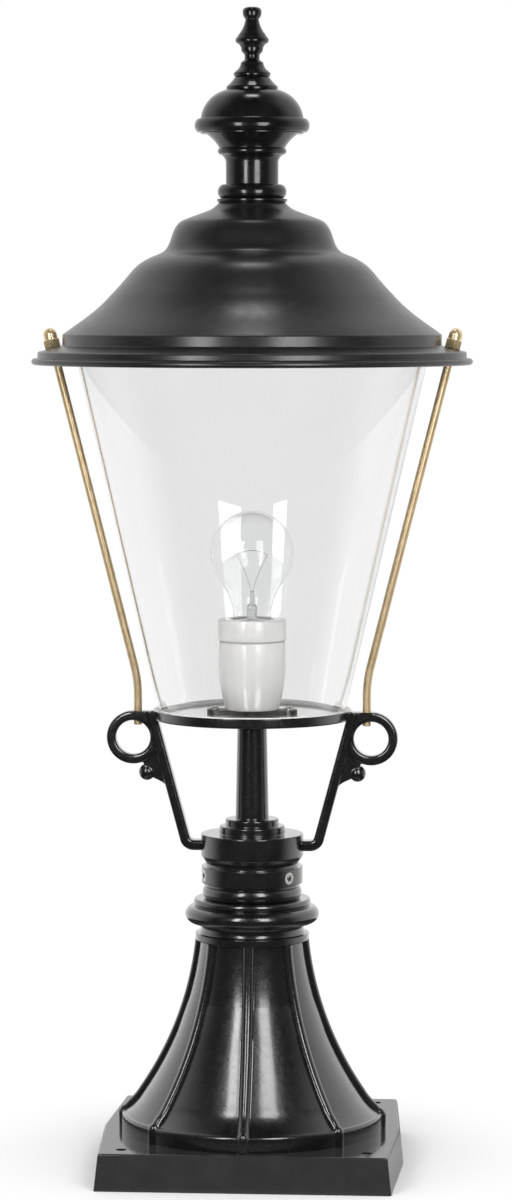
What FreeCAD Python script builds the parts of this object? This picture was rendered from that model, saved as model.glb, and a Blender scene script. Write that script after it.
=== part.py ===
"""Garden lamp: a cast pedestal foot, a cast bracket clamped on its spigot, and a glass lantern with a
spun cap and a turned finial.  Millimetres, +Z up, origin at the middle of the foot's underside."""
import FreeCAD
import Part
import Sketcher
import math
import os

# Driving dimensions: lengths in millimetres, angles in degrees
SIZES = {
    # base plate of the foot, widest at the parting plane of the mould
    "plate_margin": 9.3,
    "plate_bulge": 4.9,
    "plate_height": 24.2,
    "plate_side_tilt": 6.2,
    "plate_round": 1.6,
    "plate_wall": 6.0,
    "plate_rim": 9.0,
    "anchor_inset": 16.6,
    "anchor_hole": 7.0,
    # ribbed column of the foot
    "band_radius": 87.3,
    "band_height": 11.0,
    "band_round": 2.4,
    "toe_run": 14.7,
    "toe_rise": 13.0,
    "toe_sag": 1.0,
    "flare_top_radius": 34.7,
    "flare_height": 115.8,
    "flare_sag": 6.9,
    "rib_count": 8,
    "rib_radius": 3.2,
    "rib_sink": 0.3,
    "rib_foot_proud": 1.8,
    "rib_knob_drop": 0.7,
    "ring_radius": 37.9,
    "ring_height": 4.5,
    "neck_radius": 35.7,
    "neck_height": 7.1,
    "cove_depth": 1.2,
    "collar_radius": 44.7,
    "collar_height": 11.2,
    "collar_root_radius": 39.2,
    "step_radius": 39.1,
    "step_height": 5.0,
    "column_wall": 6.0,
    "spigot_radius": 25.0,
    "spigot_height": 34.0,
    "spigot_wall": 4.5,
    "spigot_clearance": 0.5,
    # socket cup of the bracket
    "bead_radius": 33.1,
    "bead_height": 8.1,
    "bead_sag": 1.6,
    "groove_depth": 2.2,
    "groove_height": 2.2,
    "screw_ring_radius": 33.8,
    "screw_ring_height": 11.2,
    "cup_band_radius": 34.2,
    "cup_band_cone": 4.8,
    "cup_height": 43.2,
    "cup_edge": 1.0,
    "arm_sink": 3.0,
    "socket_depth": 36.0,
    "low_boss_radius": 21.9,
    "low_boss_height": 5.3,
    "high_boss_radius": 17.8,
    "high_boss_height": 4.7,
    "boss_edge": 1.2,
    "stem_foot_radius": 11.1,
    "stem_top_radius": 9.7,
    "stem_length": 66.7,
    "cable_bore_radius": 5.6,
    # tray at the top of the stem
    "tray_radius": 65.9,
    "tray_thickness": 8.8,
    "tray_round": 1.4,
    "tray_recess": 3.5,
    "tray_lip": 1.8,
    # arms, loops and balls of the bracket
    "arm_thickness": 12.0,
    "arm_width": 6.8,
    "arm_rise": 35.2,
    "arm_reach": 1.65,
    "arm_bend_radius": 6.0,
    "arm_tilt": 15.0,
    "arm_round": 2.0,
    "loop_round": 1.8,
    "loop_reach": 13.4,
    "loop_radius": 17.7,
    "loop_hole_radius": 11.4,
    "loop_thickness": 10.0,
    "loop_drop": 21.6,
    "web_thickness": 8.0,
    "ball_inset": 9.1,
    "ball_drop": 23.4,
    "ball_radius": 5.6,
    "gusset_drop": 33.4,
    "gusset_sag": 2.6,
    # set screws that clamp the cup
    "set_screw_count": 3,
    "set_screw_radius": 4.0,
    "set_screw_azimuth": 81.0,
    "set_screw_sink": 0.2,
    "set_screw_gap": 0.3,
    "set_screw_socket": 4.0,
    "set_screw_socket_depth": 4.0,
    "screw_hole_clearance": 0.1,
    # glass shade and its seals
    "seal_thickness": 1.0,
    "seal_width": 6.0,
    "glass_foot_room": 1.7,
    "glass_tilt": 13.03,
    "glass_wall": 3.0,
    "glass_height": 247.0,
    "seal_overhang": 0.6,
    "seal_gap": 0.3,
    # spun cap
    "cap_sheet": 1.5,
    "cap_seal_edge": 0.64,
    "hoop_room": 5.64,
    "hoop_height": 5.4,
    "hoop_edge": 1.4,
    "flange_width": 15.0,
    "rim_band_height": 4.6,
    "rim_edge": 1.4,
    "rim_bead_proud": 4.1,
    "rim_bead_height": 4.2,
    "rim_bead_sag": 1.9,
    "bell_low_run": 7.5,
    "bell_low_rise": 10.2,
    "bell_mid_radius": 89.3,
    "bell_mid_rise": 22.0,
    "bell_mid_sag": 2.2,
    "crease_radius": 56.2,
    "crease_rise": 24.9,
    "bell_sag": 2.9,
    "dome_side_radius": 51.4,
    "dome_side_rise": 11.6,
    "dome_shoulder_radius": 27.5,
    "dome_shoulder_rise": 15.9,
    "dome_sag": 4.8,
    "dome_top_rise": 3.6,
    "finial_seat_radius": 22.0,
    # finial
    "stud_radius": 4.0,
    "stud_clearance": 0.3,
    "stud_tail": 2.5,
    "stud_nut_width": 13.0,
    "stud_nut_height": 6.5,
    "stud_washer_radius": 12.0,
    "stud_washer_thickness": 1.6,
    "urn_lip_radius": 23.2,
    "urn_lip_rise": 1.35,
    "urn_lip_height": 1.35,
    "urn_ring_radius": 22.7,
    "urn_ring_height": 9.4,
    "urn_ring_sag": 2.6,
    "urn_neck_radius": 17.3,
    "urn_neck_height": 14.4,
    "urn_cove_radius": 21.2,
    "urn_cove_height": 5.4,
    "urn_cove_sag": 1.0,
    "urn_bead_radius": 22.7,
    "urn_bead_height": 4.2,
    "urn_bead_sag": 1.1,
    "urn_cup_radius": 30.2,
    "urn_cup_height": 9.2,
    "urn_cup_sag": 0.7,
    "brim_ledge_radius": 33.8,
    "brim_ledge_height": 1.0,
    "brim_radius": 37.9,
    "brim_height": 9.4,
    "brim_sag": 2.0,
    "dome_radius": 34.2,
    "dome_height": 19.0,
    "dome_arc_sag": 4.2,
    "cone_radius": 18.2,
    "cone_height": 7.8,
    "cone_sag": 0.3,
    "cone_top_radius": 11.0,
    "spire_ring_radius": 12.2,
    "spire_ring_height": 3.4,
    "spire_ring_sag": 1.0,
    "spire_waist_radius": 4.9,
    "spire_waist_rise": 8.8,
    "spire_waist_height": 2.0,
    "spire_waist_sag": 1.0,
    "spire_belly_radius": 10.6,
    "spire_belly_rise": 8.8,
    "spire_belly_sag": 0.3,
    "spire_belly_height": 1.6,
    "spire_neck_radius": 4.4,
    "spire_neck_rise": 12.8,
    "spire_neck_sag": 1.0,
    "spire_knob_radius": 6.4,
    "spire_knob_height": 5.0,
    "spire_knob_sag": 0.5,
    "spire_crown_height": 3.4,
    "spire_hole_depth": 8.0,
    # tie rods and their nuts
    "rod_radius": 2.7,
    "rod_foot_inset": 3.0,
    "rod_tilt": 14.2,
    "rod_bend_radius": 80.0,
    "rod_tail": 2.7,
    "rod_hole_clearance": 0.3,
    "cap_hole_clearance": 0.8,
    "nut_seat_reach": 6.9,
    "nut_seat_gap": 0.1,
    "nut_width": 10.0,
    "nut_hex_height": 5.6,
    "nut_dome_radius": 4.5,
    "nut_dome_height": 7.8,
    "nut_bore_depth": 9.0,
    "rod_end_gap": 0.4,
    "nut_bore_clearance": 0.1,
    # lampholder
    "strap_half_length": 30.0,
    "strap_half_width": 7.0,
    "strap_thickness": 2.0,
    "strap_screw_x": 25.0,
    "strap_screw_radius": 1.6,
    "strap_screw_length": 6.0,
    "strap_head_radius": 3.2,
    "strap_head_edge": 0.8,
    "strap_head_crown": 1.2,
    "thread_clearance": 0.1,
    "nipple_radius": 5.0,
    "nipple_bore_radius": 3.6,
    "nipple_tail": 1.5,
    "nipple_height": 17.0,
    "holder_foot_radius": 17.5,
    "holder_radius": 22.3,
    "holder_cone_height": 30.0,
    "holder_cone_sag": 1.4,
    "holder_height": 44.6,
    "holder_floor": 18.0,
    "holder_edge": 1.2,
    "holder_ring_radius": 22.7,
    "holder_ring_height": 15.0,
    "shell_radius": 14.4,
    "shell_wall": 0.5,
    "shell_clearance": 0.3,
    "shell_height": 38.0,
    "shell_flange": 3.0,
    "contact_radius": 6.0,
    "contact_base_height": 2.0,
    "contact_post_radius": 3.0,
    # bulb, from its contact upwards
    "bulb_seat": 13.6,
    "tip_radius": 4.8,
    "tip_height": 1.2,
    "insulator_height": 4.0,
    "insulator_radius": 11.6,
    "bulb_cap_radius": 13.1,
    "bulb_cap_wall": 0.5,
    "bulb_cap_height": 22.0,
    "bulb_cap_cone": 1.6,
    "envelope_sink": 6.0,
    "envelope_neck_height": 11.0,
    "envelope_wall": 0.8,
    "envelope_shoulder_radius": 22.6,
    "envelope_shoulder_rise": 22.5,
    "envelope_shoulder_sag": 1.6,
    "envelope_radius": 27.5,
    "envelope_equator_rise": 17.5,
    "envelope_cheek_sag": 1.2,
    "mount_flare_height": 6.0,
    "mount_tube_radius": 4.4,
    "mount_height": 36.0,
    "mount_pinch_radius": 1.7,
    "mount_pinch_height": 8.0,
    "lead_radius": 0.45,
    "lead_foot_x": 1.1,
    "lead_tip_x": 13.0,
    "lead_bend_rise": 3.0,
    "lead_sag": 1.0,
    "lead_rise": 26.0,
    "filament_radius": 0.45,
    "filament_sag": 4.0,
    "filament_gap": 0.9,
}

doc = FreeCAD.newDocument("garden_lamp")
sheet = doc.addObject("Spreadsheet::Sheet", "sizes")
for row, (alias, number) in enumerate(SIZES.items(), start=1):
    sheet.set("A%d" % row, alias)
    sheet.set("B%d" % row, str(number))
    sheet.setAlias("B%d" % row, alias)
doc.recompute()


class Size:
    """A length, angle or count: its number now, and the expression that ties it to the sheet."""

    def __init__(self, text, value):
        self.text = text
        self.value = value

    def __add__(self, other):
        other = as_size(other)
        return Size("(%s + %s)" % (self.text, other.text), self.value + other.value)

    def __sub__(self, other):
        other = as_size(other)
        return Size("(%s - %s)" % (self.text, other.text), self.value - other.value)

    def __mul__(self, other):
        other = as_size(other)
        return Size("(%s * %s)" % (self.text, other.text), self.value * other.value)

    def __truediv__(self, other):
        other = as_size(other)
        return Size("(%s / %s)" % (self.text, other.text), self.value / other.value)

    def __rsub__(self, other):
        return as_size(other) - self

    def __neg__(self):
        return as_size(0) - self


def as_size(item):
    return item if isinstance(item, Size) else Size(repr(float(item)), float(item))


def of_sheet(alias):
    """The size that the sheet holds under this name."""
    return Size("sizes." + alias, float(sheet.get(alias)))


# Sag of a quarter round for a radius of one
QUARTER = 1 - math.cos(math.radians(45))


def root(square):
    return Size("sqrt(%s)" % square.text, math.sqrt(square.value))


def sine(angle):
    return Size("sin(%s)" % angle.text, math.sin(math.radians(angle.value)))


def cosine(angle):
    return Size("cos(%s)" % angle.text, math.cos(math.radians(angle.value)))


def tangent(angle):
    return Size("tan(%s)" % angle.text, math.tan(math.radians(angle.value)))


def crown_sag(reach, rise):
    """The sag of an arc that climbs by rise from this reach to the axis, round about a point of the axis."""
    square = reach * reach + rise * rise
    radius = square / (rise * 2)
    return radius - root(radius * radius - square / 4)


class Names:
    """Lets a size be written as size.plate_height."""

    def __getattr__(self, alias):
        return of_sheet(alias)


size = Names()
NODES = []
# Smallest distance that counts when edges and faces are picked
HAIR = 1e-3


def new_body(label, several=False):
    """A body that becomes one node, or a group of equal solids where several is set."""
    body = doc.addObject("PartDesign::Body", label)
    body.Label = label
    body.AllowCompound = several
    NODES.append(body)
    return body


def origin_plane(body, role):
    return [item for item in body.Origin.OriginFeatures if item.Role == role][0]


def bind(thing, path, value):
    thing.setExpression(path, as_size(value).text)


def seat(body, rise):
    """Puts a body's own zero at this height above the floor."""
    bind(body, "Placement.Base.z", rise)


def new_sketch(body, name, role="XZ_Plane"):
    sketch = body.newObject("Sketcher::SketchObject", name)
    sketch.AttachmentSupport = [(origin_plane(body, role), "")]
    sketch.MapMode = "FlatFace"
    return sketch


def raise_sketch(sketch, distance):
    """Moves a sketch off its plane, along the plane's normal."""
    bind(sketch, "AttachmentOffset.Base.z", distance)


def arc_through(start, end, sag):
    """The arc from start to end that stands sag to the right of the chord, and whether it is reversed."""
    chord = math.hypot(end[0] - start[0], end[1] - start[1])
    along = ((end[0] - start[0]) / chord, (end[1] - start[1]) / chord)
    radius = chord * chord / (8 * abs(sag)) + abs(sag) / 2
    side = 1 if sag > 0 else -1
    reach = side * (abs(sag) - radius)
    middle = ((start[0] + end[0]) / 2, (start[1] + end[1]) / 2)
    centre = (middle[0] + along[1] * reach, middle[1] - along[0] * reach)
    first, last = (start, end) if sag > 0 else (end, start)
    circle = Part.Circle(FreeCAD.Vector(centre[0], centre[1], 0), FreeCAD.Vector(0, 0, 1), radius)
    angles = [math.atan2(p[1] - centre[1], p[0] - centre[0]) for p in (first, last)]
    if angles[1] <= angles[0]:
        angles[1] += 2 * math.pi
    return Part.ArcOfCircle(circle, angles[0], angles[1]), sag < 0


def pin_point(sketch, geometry, corner, place, rules, ties):
    """Ties one corner of a sketch to its distances from the sketch's two axes."""
    for axis, kind, value in ((-2, "DistanceX", place[0]), (-1, "DistanceY", place[1])):
        value = as_size(value)
        if abs(value.value) < 1e-9 and value.text == "0.0":
            rules.append(Sketcher.Constraint("PointOnObject", geometry, corner, axis))
        else:
            ties.append((len(rules), value))
            rules.append(Sketcher.Constraint(kind, -1, 1, geometry, corner, value.value))


def draw(sketch, corners, closed=True):
    """Draws an outline.  A corner is (across, up), or (across, up, sag) where an arc leads to it, which
    bows by sag to the right of its chord."""
    corners = [tuple(as_size(number) for number in corner) for corner in corners]
    runs = list(zip(corners, corners[1:] + corners[:1])) if closed else list(zip(corners, corners[1:]))
    rules, ties, ends = [], [], []
    for start, end in runs:
        first = (start[0].value, start[1].value)
        last = (end[0].value, end[1].value)
        if len(end) == 3:
            shape, backwards = arc_through(first, last, end[2].value)
            number = sketch.addGeometry(shape, False)
            ends.append((number, 2, 1) if backwards else (number, 1, 2))
            square = (end[0] - start[0]) * (end[0] - start[0]) + (end[1] - start[1]) * (end[1] - start[1])
            sag = end[2] if end[2].value > 0 else -end[2]
            radius = square / (sag * 8) + sag / 2
            ties.append((len(rules), radius))
            rules.append(Sketcher.Constraint("Radius", number, radius.value))
        else:
            line = Part.LineSegment(FreeCAD.Vector(*first, 0), FreeCAD.Vector(*last, 0))
            number = sketch.addGeometry(line, False)
            ends.append((number, 1, 2))
    for (start, end), (number, head, tail) in zip(runs, ends):
        pin_point(sketch, number, head, start, rules, ties)
    if not closed:
        pin_point(sketch, ends[-1][0], ends[-1][2], corners[-1], rules, ties)
    following = ends[1:] + ends[:1] if closed else ends[1:]
    for (number, head, tail), (after, after_head, after_tail) in zip(ends, following):
        rules.append(Sketcher.Constraint("Coincident", number, tail, after, after_head))
    hold(sketch, rules, ties)


def draw_circle(sketch, across, up, radius):
    """Draws a circle whose middle and radius follow the sheet."""
    across, up, radius = as_size(across), as_size(up), as_size(radius)
    circle = Part.Circle(FreeCAD.Vector(across.value, up.value, 0), FreeCAD.Vector(0, 0, 1), radius.value)
    number = sketch.addGeometry(circle, False)
    rules = []
    ties = [(0, radius)]
    rules.append(Sketcher.Constraint("Radius", number, radius.value))
    pin_point(sketch, number, 3, (across, up), rules, ties)
    hold(sketch, rules, ties)


def hold(sketch, rules, ties):
    first = sketch.ConstraintCount
    sketch.addConstraint(rules)
    for number, value in ties:
        bind(sketch, "Constraints[%d]" % (first + number), value)


def hexagon(width, across=0.0, up=0.0):
    """The corners of a hexagon with this width across its flats."""
    reach = as_size(width) / root(as_size(3))
    half = as_size(width) / 2
    across, up = as_size(across), as_size(up)
    return [
        (across + reach, up),
        (across + reach / 2, up + half),
        (across - reach / 2, up + half),
        (across - reach, up),
        (across - reach / 2, up - half),
        (across + reach / 2, up - half),
    ]


def rounded_box(width, height, corner, up=0.0, across=0.0):
    """The outline of a box with rounded corners, about this middle."""
    width, height, up, across = as_size(width), as_size(height), as_size(up), as_size(across)
    right, left = across + width / 2, across - width / 2
    top, low = up + height / 2, up - height / 2
    bow = corner * QUARTER
    return [
        (right - corner, low),
        (right, low + corner, bow),
        (right, top - corner),
        (right - corner, top, bow),
        (left + corner, top),
        (left, top - corner, bow),
        (left, low + corner),
        (left + corner, low, bow),
    ]


def revolve(body, sketch, name, kind="Revolution"):
    feature = body.newObject("PartDesign::" + kind, name)
    feature.Profile = sketch
    feature.ReferenceAxis = (sketch, ["V_Axis"])
    feature.Angle = 360
    body.Tip = feature
    return feature


def pad(body, sketch, name, length, midplane=False):
    feature = body.newObject("PartDesign::Pad", name)
    feature.Profile = sketch
    feature.SideType = "Symmetric" if midplane else "One side"
    bind(feature, "Length", length)
    return feature


def pocket(body, sketch, name, length=None, midplane=False, backwards=False):
    """Cuts the sketch out of the solid, right through where no length is given, and checks that it cut."""
    doc.recompute()
    before = body.Tip.Shape.Volume
    feature = body.newObject("PartDesign::Pocket", name)
    feature.Profile = sketch
    feature.SideType = "Symmetric" if midplane else "One side"
    feature.Reversed = backwards
    if length is None:
        feature.Type = "ThroughAll"
    else:
        bind(feature, "Length", length)
    body.Tip = feature
    doc.recompute()
    if not feature.Shape.Volume < before:
        raise RuntimeError("%s cuts nothing" % name)
    return feature


def pipe(body, section, path, name):
    feature = body.newObject("PartDesign::AdditivePipe", name)
    feature.Profile = section
    feature.Spine = path
    body.Tip = feature
    return feature


def polar_pattern(body, originals, name, count):
    feature = body.newObject("PartDesign::PolarPattern", name)
    feature.Originals = originals
    feature.Axis = (origin_axis(body, "Z_Axis"), [""])
    feature.Angle = 360
    bind(feature, "Occurrences", count)
    body.Tip = feature
    return feature


def mirror(body, originals, name, role):
    feature = body.newObject("PartDesign::Mirrored", name)
    feature.Originals = originals
    feature.MirrorPlane = (origin_plane(body, role), [""])
    body.Tip = feature
    return feature


def origin_axis(body, role):
    return [item for item in body.Origin.OriginFeatures if item.Role == role][0]


def fillet(body, name, radius, wanted):
    """Rounds the edges of the body's tip for which wanted(edge) is true."""
    doc.recompute()
    base = body.Tip
    picked = ["Edge%d" % number for number, edge in enumerate(base.Shape.Edges, start=1) if wanted(edge)]
    if not picked:
        raise RuntimeError("%s finds no edges" % name)
    feature = body.newObject("PartDesign::Fillet", name)
    feature.Base = (base, picked)
    bind(feature, "Radius", radius)
    body.Tip = feature
    return feature


def middle_of(edge):
    return edge.valueAt((edge.FirstParameter + edge.LastParameter) / 2)


def turned(label, corners):
    """A piece turned on a lathe, from its outline right of the axis."""
    body = new_body(label)
    sketch = new_sketch(body, label + "_profile")
    draw(sketch, corners)
    revolve(body, sketch, label + "_turn")
    return body


# Heights that several pieces share, from the floor up
band_top = size.plate_height + size.band_height
toe_z = band_top + size.toe_rise
flare_top = band_top + size.flare_height
ring_top = flare_top + size.ring_height
neck_top = ring_top + size.neck_height
collar_top = neck_top + size.collar_height
joint_z = collar_top + size.step_height
tray_under = size.cup_height + size.low_boss_height + size.high_boss_height + size.stem_length
tray_top = tray_under + size.tray_thickness
tray_floor = tray_top - size.tray_recess
floor_z = joint_z + tray_floor
glass_z = floor_z + size.seal_thickness
glass_top_z = glass_z + size.glass_height

# Radii that follow one another: the plate follows the column, the arms and the glass follow the tray,
# and the lower part of the cap follows the glass
plate_half = size.band_radius + size.plate_margin
toe_radius = size.band_radius - size.toe_run
loop_x = size.tray_radius + size.loop_reach
ball_x = loop_x - size.ball_inset
rod_foot_x = loop_x - size.rod_foot_inset
glass_wall_across = size.glass_wall / cosine(size.glass_tilt)
glass_foot_radius = size.tray_radius - size.tray_lip - size.glass_foot_room
glass_out = glass_foot_radius + size.glass_height * tangent(size.glass_tilt)
seal_out = glass_out + size.seal_overhang
hoop_radius = glass_out + size.hoop_room
hoop_top_radius = hoop_radius - size.hoop_edge
bell_low_radius = hoop_top_radius - size.bell_low_run
nut_seat_radius = hoop_radius + size.nut_seat_reach
flange_radius = hoop_radius + size.flange_width
rim_band_radius = flange_radius + size.rim_edge
rim_radius = rim_band_radius + size.rim_bead_proud

# Heights of the cap, from its rim up; its bell rests on the seal round the top of the glass
rim_top = size.rim_bead_height + size.rim_band_height
nut_seat = rim_top + (flange_radius - nut_seat_radius) * tangent(size.rod_tilt)
hoop_foot = rim_top + (flange_radius - hoop_radius) * tangent(size.rod_tilt)
hoop_top = hoop_foot + size.hoop_height
bell_low = hoop_top + size.bell_low_rise
bell_mid = bell_low + size.bell_mid_rise
crease = bell_mid + size.crease_rise
dome_side = crease + size.dome_side_rise
dome_shoulder = dome_side + size.dome_shoulder_rise
cap_top = dome_shoulder + size.dome_top_rise
bell_slope = size.bell_low_rise / size.bell_low_run
sheet_drop = size.cap_sheet * (bell_slope + 1) + size.seal_gap * root(bell_slope * bell_slope + 1)
bell_inside = hoop_top + (hoop_top_radius - seal_out) * bell_slope - sheet_drop
cap_z = glass_top_z + size.cap_seal_edge - bell_inside


def plate_outline(inset):
    """The plan of the base plate: six corners, drawn in from the edge by inset."""
    end = plate_half - inset
    mid = end + size.plate_bulge
    return [(mid, 0), (end, end), (-end, end), (-mid, 0), (-end, -end), (end, -end)]


def pedestal_foot():
    body = new_body("pedestal_foot")
    plan = new_sketch(body, "plate_plan", "XY_Plane")
    draw(plan, plate_outline(0))
    plate = pad(body, plan, "plate", size.plate_height)
    bind(plate, "TaperAngle", -size.plate_side_tilt)
    doc.recompute()
    fillet(body, "plate_edges", size.plate_round, lambda edge: middle_of(edge).z > HAIR)

    column = new_sketch(body, "column_profile")
    draw(column, [
        (0, size.plate_wall),
        (size.band_radius, size.plate_wall),
        (size.band_radius, band_top - size.band_round),
        (size.band_radius - size.band_round, band_top, size.band_round * QUARTER),
        (toe_radius, toe_z, -size.toe_sag),
        (size.flare_top_radius, flare_top, -size.flare_sag),
        (size.ring_radius, flare_top),
        (size.ring_radius, ring_top),
        (size.neck_radius, ring_top),
        (size.neck_radius, neck_top, -size.cove_depth),
        (size.collar_root_radius, neck_top),
        (size.collar_root_radius, collar_top, (size.collar_radius - size.collar_root_radius)),
        (size.step_radius - size.boss_edge, collar_top),
        (size.step_radius - size.boss_edge, joint_z, size.boss_edge),
        (size.spigot_radius, joint_z),
        (size.spigot_radius, joint_z + size.spigot_height),
        (0, joint_z + size.spigot_height),
    ])
    revolve(body, column, "column")

    crest = new_sketch(body, "rib_path")
    crest_top = flare_top + size.ring_height / 2
    foot_reach = size.band_radius + size.rib_foot_proud - size.rib_radius
    draw(crest, [
        (size.flare_top_radius - size.rib_sink, crest_top),
        (toe_radius - size.rib_sink, toe_z, size.flare_sag),
        (foot_reach, band_top - size.rib_knob_drop, size.toe_sag),
        (foot_reach, size.plate_wall),
    ], closed=False)
    round_bar = new_sketch(body, "rib_section", "XY_Plane")
    raise_sketch(round_bar, crest_top)
    draw_circle(round_bar, size.flare_top_radius - size.rib_sink, 0, size.rib_radius)
    rib = pipe(body, round_bar, crest, "rib")
    rib.Transition = "Round corner"
    polar_pattern(body, [rib], "ribs", size.rib_count)

    hollow = new_sketch(body, "hollow_profile")
    wall = size.column_wall
    bore = size.spigot_radius - size.spigot_wall
    draw(hollow, [
        (0, 0),
        (size.band_radius - wall, 0),
        (size.band_radius - wall, band_top - size.band_round - wall),
        (toe_radius - wall, toe_z - wall),
        (size.flare_top_radius - wall, flare_top, -size.flare_sag),
        (bore, neck_top),
        (bore, joint_z + size.spigot_height + size.plate_wall),
        (0, joint_z + size.spigot_height + size.plate_wall),
    ])
    doc.recompute()
    before = body.Tip.Shape.Volume
    groove = revolve(body, hollow, "hollow", "Groove")
    doc.recompute()
    if not groove.Shape.Volume < before:
        raise RuntimeError("the foot's hollow cuts nothing")

    under = new_sketch(body, "underside_plan", "XY_Plane")
    draw(under, plate_outline(size.plate_rim))
    pocket(body, under, "underside", size.plate_height - size.plate_wall, backwards=True)

    holes = new_sketch(body, "anchor_plan", "XY_Plane")
    reach = plate_half - size.anchor_inset
    for across in (reach, -reach):
        for up in (reach, -reach):
            draw_circle(holes, across, up, size.anchor_hole / 2)
    pocket(body, holes, "anchor_holes", backwards=True)
    return body


screw_z = size.bead_height + size.groove_height + size.screw_ring_height / 2
loop_z = tray_top - size.loop_drop
lug_top = loop_z + size.loop_radius
arm_bend_x = size.tray_radius + size.arm_reach - (lug_top - size.arm_rise) * tangent(size.arm_tilt)


def arm_at(up):
    """How far out the middle of an arm's sloping run lies at this height."""
    return arm_bend_x + (up - size.arm_rise) * tangent(size.arm_tilt)


def lantern_bracket():
    body = new_body("lantern_bracket")
    bore = size.spigot_radius + size.spigot_clearance
    groove = size.bead_radius - size.groove_depth
    ring_low = size.bead_height + size.groove_height
    ring_high = ring_low + size.screw_ring_height
    band_low = ring_high + size.groove_height
    low_top = size.cup_height + size.low_boss_height
    high_top = low_top + size.high_boss_height
    lip = size.tray_radius - size.tray_lip
    turning = new_sketch(body, "bracket_profile")
    draw(turning, [
        (bore, 0),
        (size.bead_radius - size.bead_sag, 0),
        (size.bead_radius - size.bead_sag, size.bead_height, size.bead_sag),
        (groove, size.bead_height),
        (groove, ring_low),
        (size.screw_ring_radius, ring_low),
        (size.screw_ring_radius, ring_high),
        (groove, ring_high),
        (groove, band_low),
        (size.cup_band_radius, band_low + size.cup_band_cone),
        (size.cup_band_radius, size.cup_height - size.cup_edge),
        (size.cup_band_radius - size.cup_edge, size.cup_height, size.cup_edge * QUARTER),
        (size.low_boss_radius, size.cup_height),
        (size.low_boss_radius, low_top - size.boss_edge),
        (size.low_boss_radius - size.boss_edge, low_top, size.boss_edge * QUARTER),
        (size.high_boss_radius, low_top),
        (size.high_boss_radius, high_top - size.boss_edge),
        (size.high_boss_radius - size.boss_edge, high_top, size.boss_edge * QUARTER),
        (size.stem_foot_radius, high_top),
        (size.stem_top_radius, tray_under),
        (size.tray_radius - size.tray_round, tray_under),
        (size.tray_radius, tray_under + size.tray_round, size.tray_round * QUARTER),
        (size.tray_radius, tray_top),
        (lip, tray_top),
        (lip, tray_floor),
        (size.cable_bore_radius, tray_floor),
        (size.cable_bore_radius, size.socket_depth),
        (bore, size.socket_depth),
    ])
    revolve(body, turning, "cup_stem_tray")

    half_turn = (as_size(90) - size.arm_tilt) / 2
    run = size.arm_bend_radius * tangent(half_turn)
    arm_root = size.cup_band_radius - size.arm_sink
    arm_top = lug_top - size.arm_width / 2 * sine(size.arm_tilt)
    bend = new_sketch(body, "arm_path")
    draw(bend, [
        (arm_root, size.arm_rise),
        (arm_bend_x - run, size.arm_rise),
        (arm_bend_x + run * sine(size.arm_tilt), size.arm_rise + run * cosine(size.arm_tilt),
         size.arm_bend_radius * (as_size(1) - cosine(half_turn))),
        (arm_at(arm_top), arm_top),
    ], closed=False)
    bar = new_sketch(body, "arm_section", "YZ_Plane")
    raise_sketch(bar, arm_root)
    draw(bar, rounded_box(size.arm_thickness, size.arm_width, size.arm_round, size.arm_rise))
    arm = pipe(body, bar, bend, "arm")

    web = new_sketch(body, "web_profile")
    ball_z = loop_z - size.ball_drop
    draw(web, [
        (arm_at(loop_z - size.gusset_drop), loop_z - size.gusset_drop),
        (ball_x, ball_z, -size.gusset_sag),
        (loop_x, loop_z),
        (loop_x, lug_top),
        (arm_at(lug_top), lug_top),
    ])
    web_pad = pad(body, web, "web", size.web_thickness, midplane=True)

    mirror(body, [arm, web_pad], "both_arms", "YZ_Plane")
    eyes = new_sketch(body, "loop_holes_profile")
    for across in (loop_x, -loop_x):
        draw_circle(eyes, across, loop_z, size.loop_hole_radius + size.loop_round / 2)
    pocket(body, eyes, "loop_holes", size.arm_thickness, midplane=True)

    section = new_sketch(body, "loop_section", "XY_Plane")
    bind(section, "AttachmentOffset.Base.x", loop_x)
    raise_sketch(section, loop_z)
    ring_middle = (size.loop_radius + size.loop_hole_radius) / 2
    ring_width = size.loop_radius - size.loop_hole_radius
    draw(section, rounded_box(ring_width, size.loop_thickness, size.loop_round, 0, ring_middle))
    loop = revolve(body, section, "loop")

    half_disc = new_sketch(body, "ball_profile")
    bind(half_disc, "AttachmentOffset.Base.x", ball_x)
    bind(half_disc, "AttachmentOffset.Base.y", ball_z)
    draw(half_disc, [
        (0, -size.ball_radius),
        (size.ball_radius, 0, size.ball_radius * QUARTER),
        (0, size.ball_radius, size.ball_radius * QUARTER),
    ])
    ball = revolve(body, half_disc, "ball")
    mirror(body, [loop, ball], "both_loops", "YZ_Plane")

    rods = new_sketch(body, "rod_holes_plan", "XY_Plane")
    raise_sketch(rods, lug_top)
    for across in (rod_foot_x, -rod_foot_x):
        draw_circle(rods, across, 0, size.rod_radius + size.rod_hole_clearance)
    pocket(body, rods, "rod_holes", size.loop_radius)

    screws = new_sketch(body, "strap_holes_plan", "XY_Plane")
    raise_sketch(screws, tray_floor)
    for across in (size.strap_screw_x, -size.strap_screw_x):
        draw_circle(screws, across, 0, size.strap_screw_radius + size.thread_clearance)
    pocket(body, screws, "strap_holes", size.tray_thickness)

    clamp = new_sketch(body, "clamp_holes_plan", "YZ_Plane")
    clamp.AttachmentOffset = FreeCAD.Placement(FreeCAD.Vector(), FreeCAD.Rotation(FreeCAD.Vector(0, 1, 0), 1))
    bind(clamp, "AttachmentOffset.Rotation.Angle", size.set_screw_azimuth)
    draw_circle(clamp, 0, screw_z, size.set_screw_radius + size.screw_hole_clearance)
    hole = pocket(body, clamp, "clamp_hole", size.cup_band_radius * 2, backwards=True)
    polar_pattern(body, [hole], "clamp_holes", size.set_screw_count)
    seat(body, joint_z)
    return body


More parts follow.
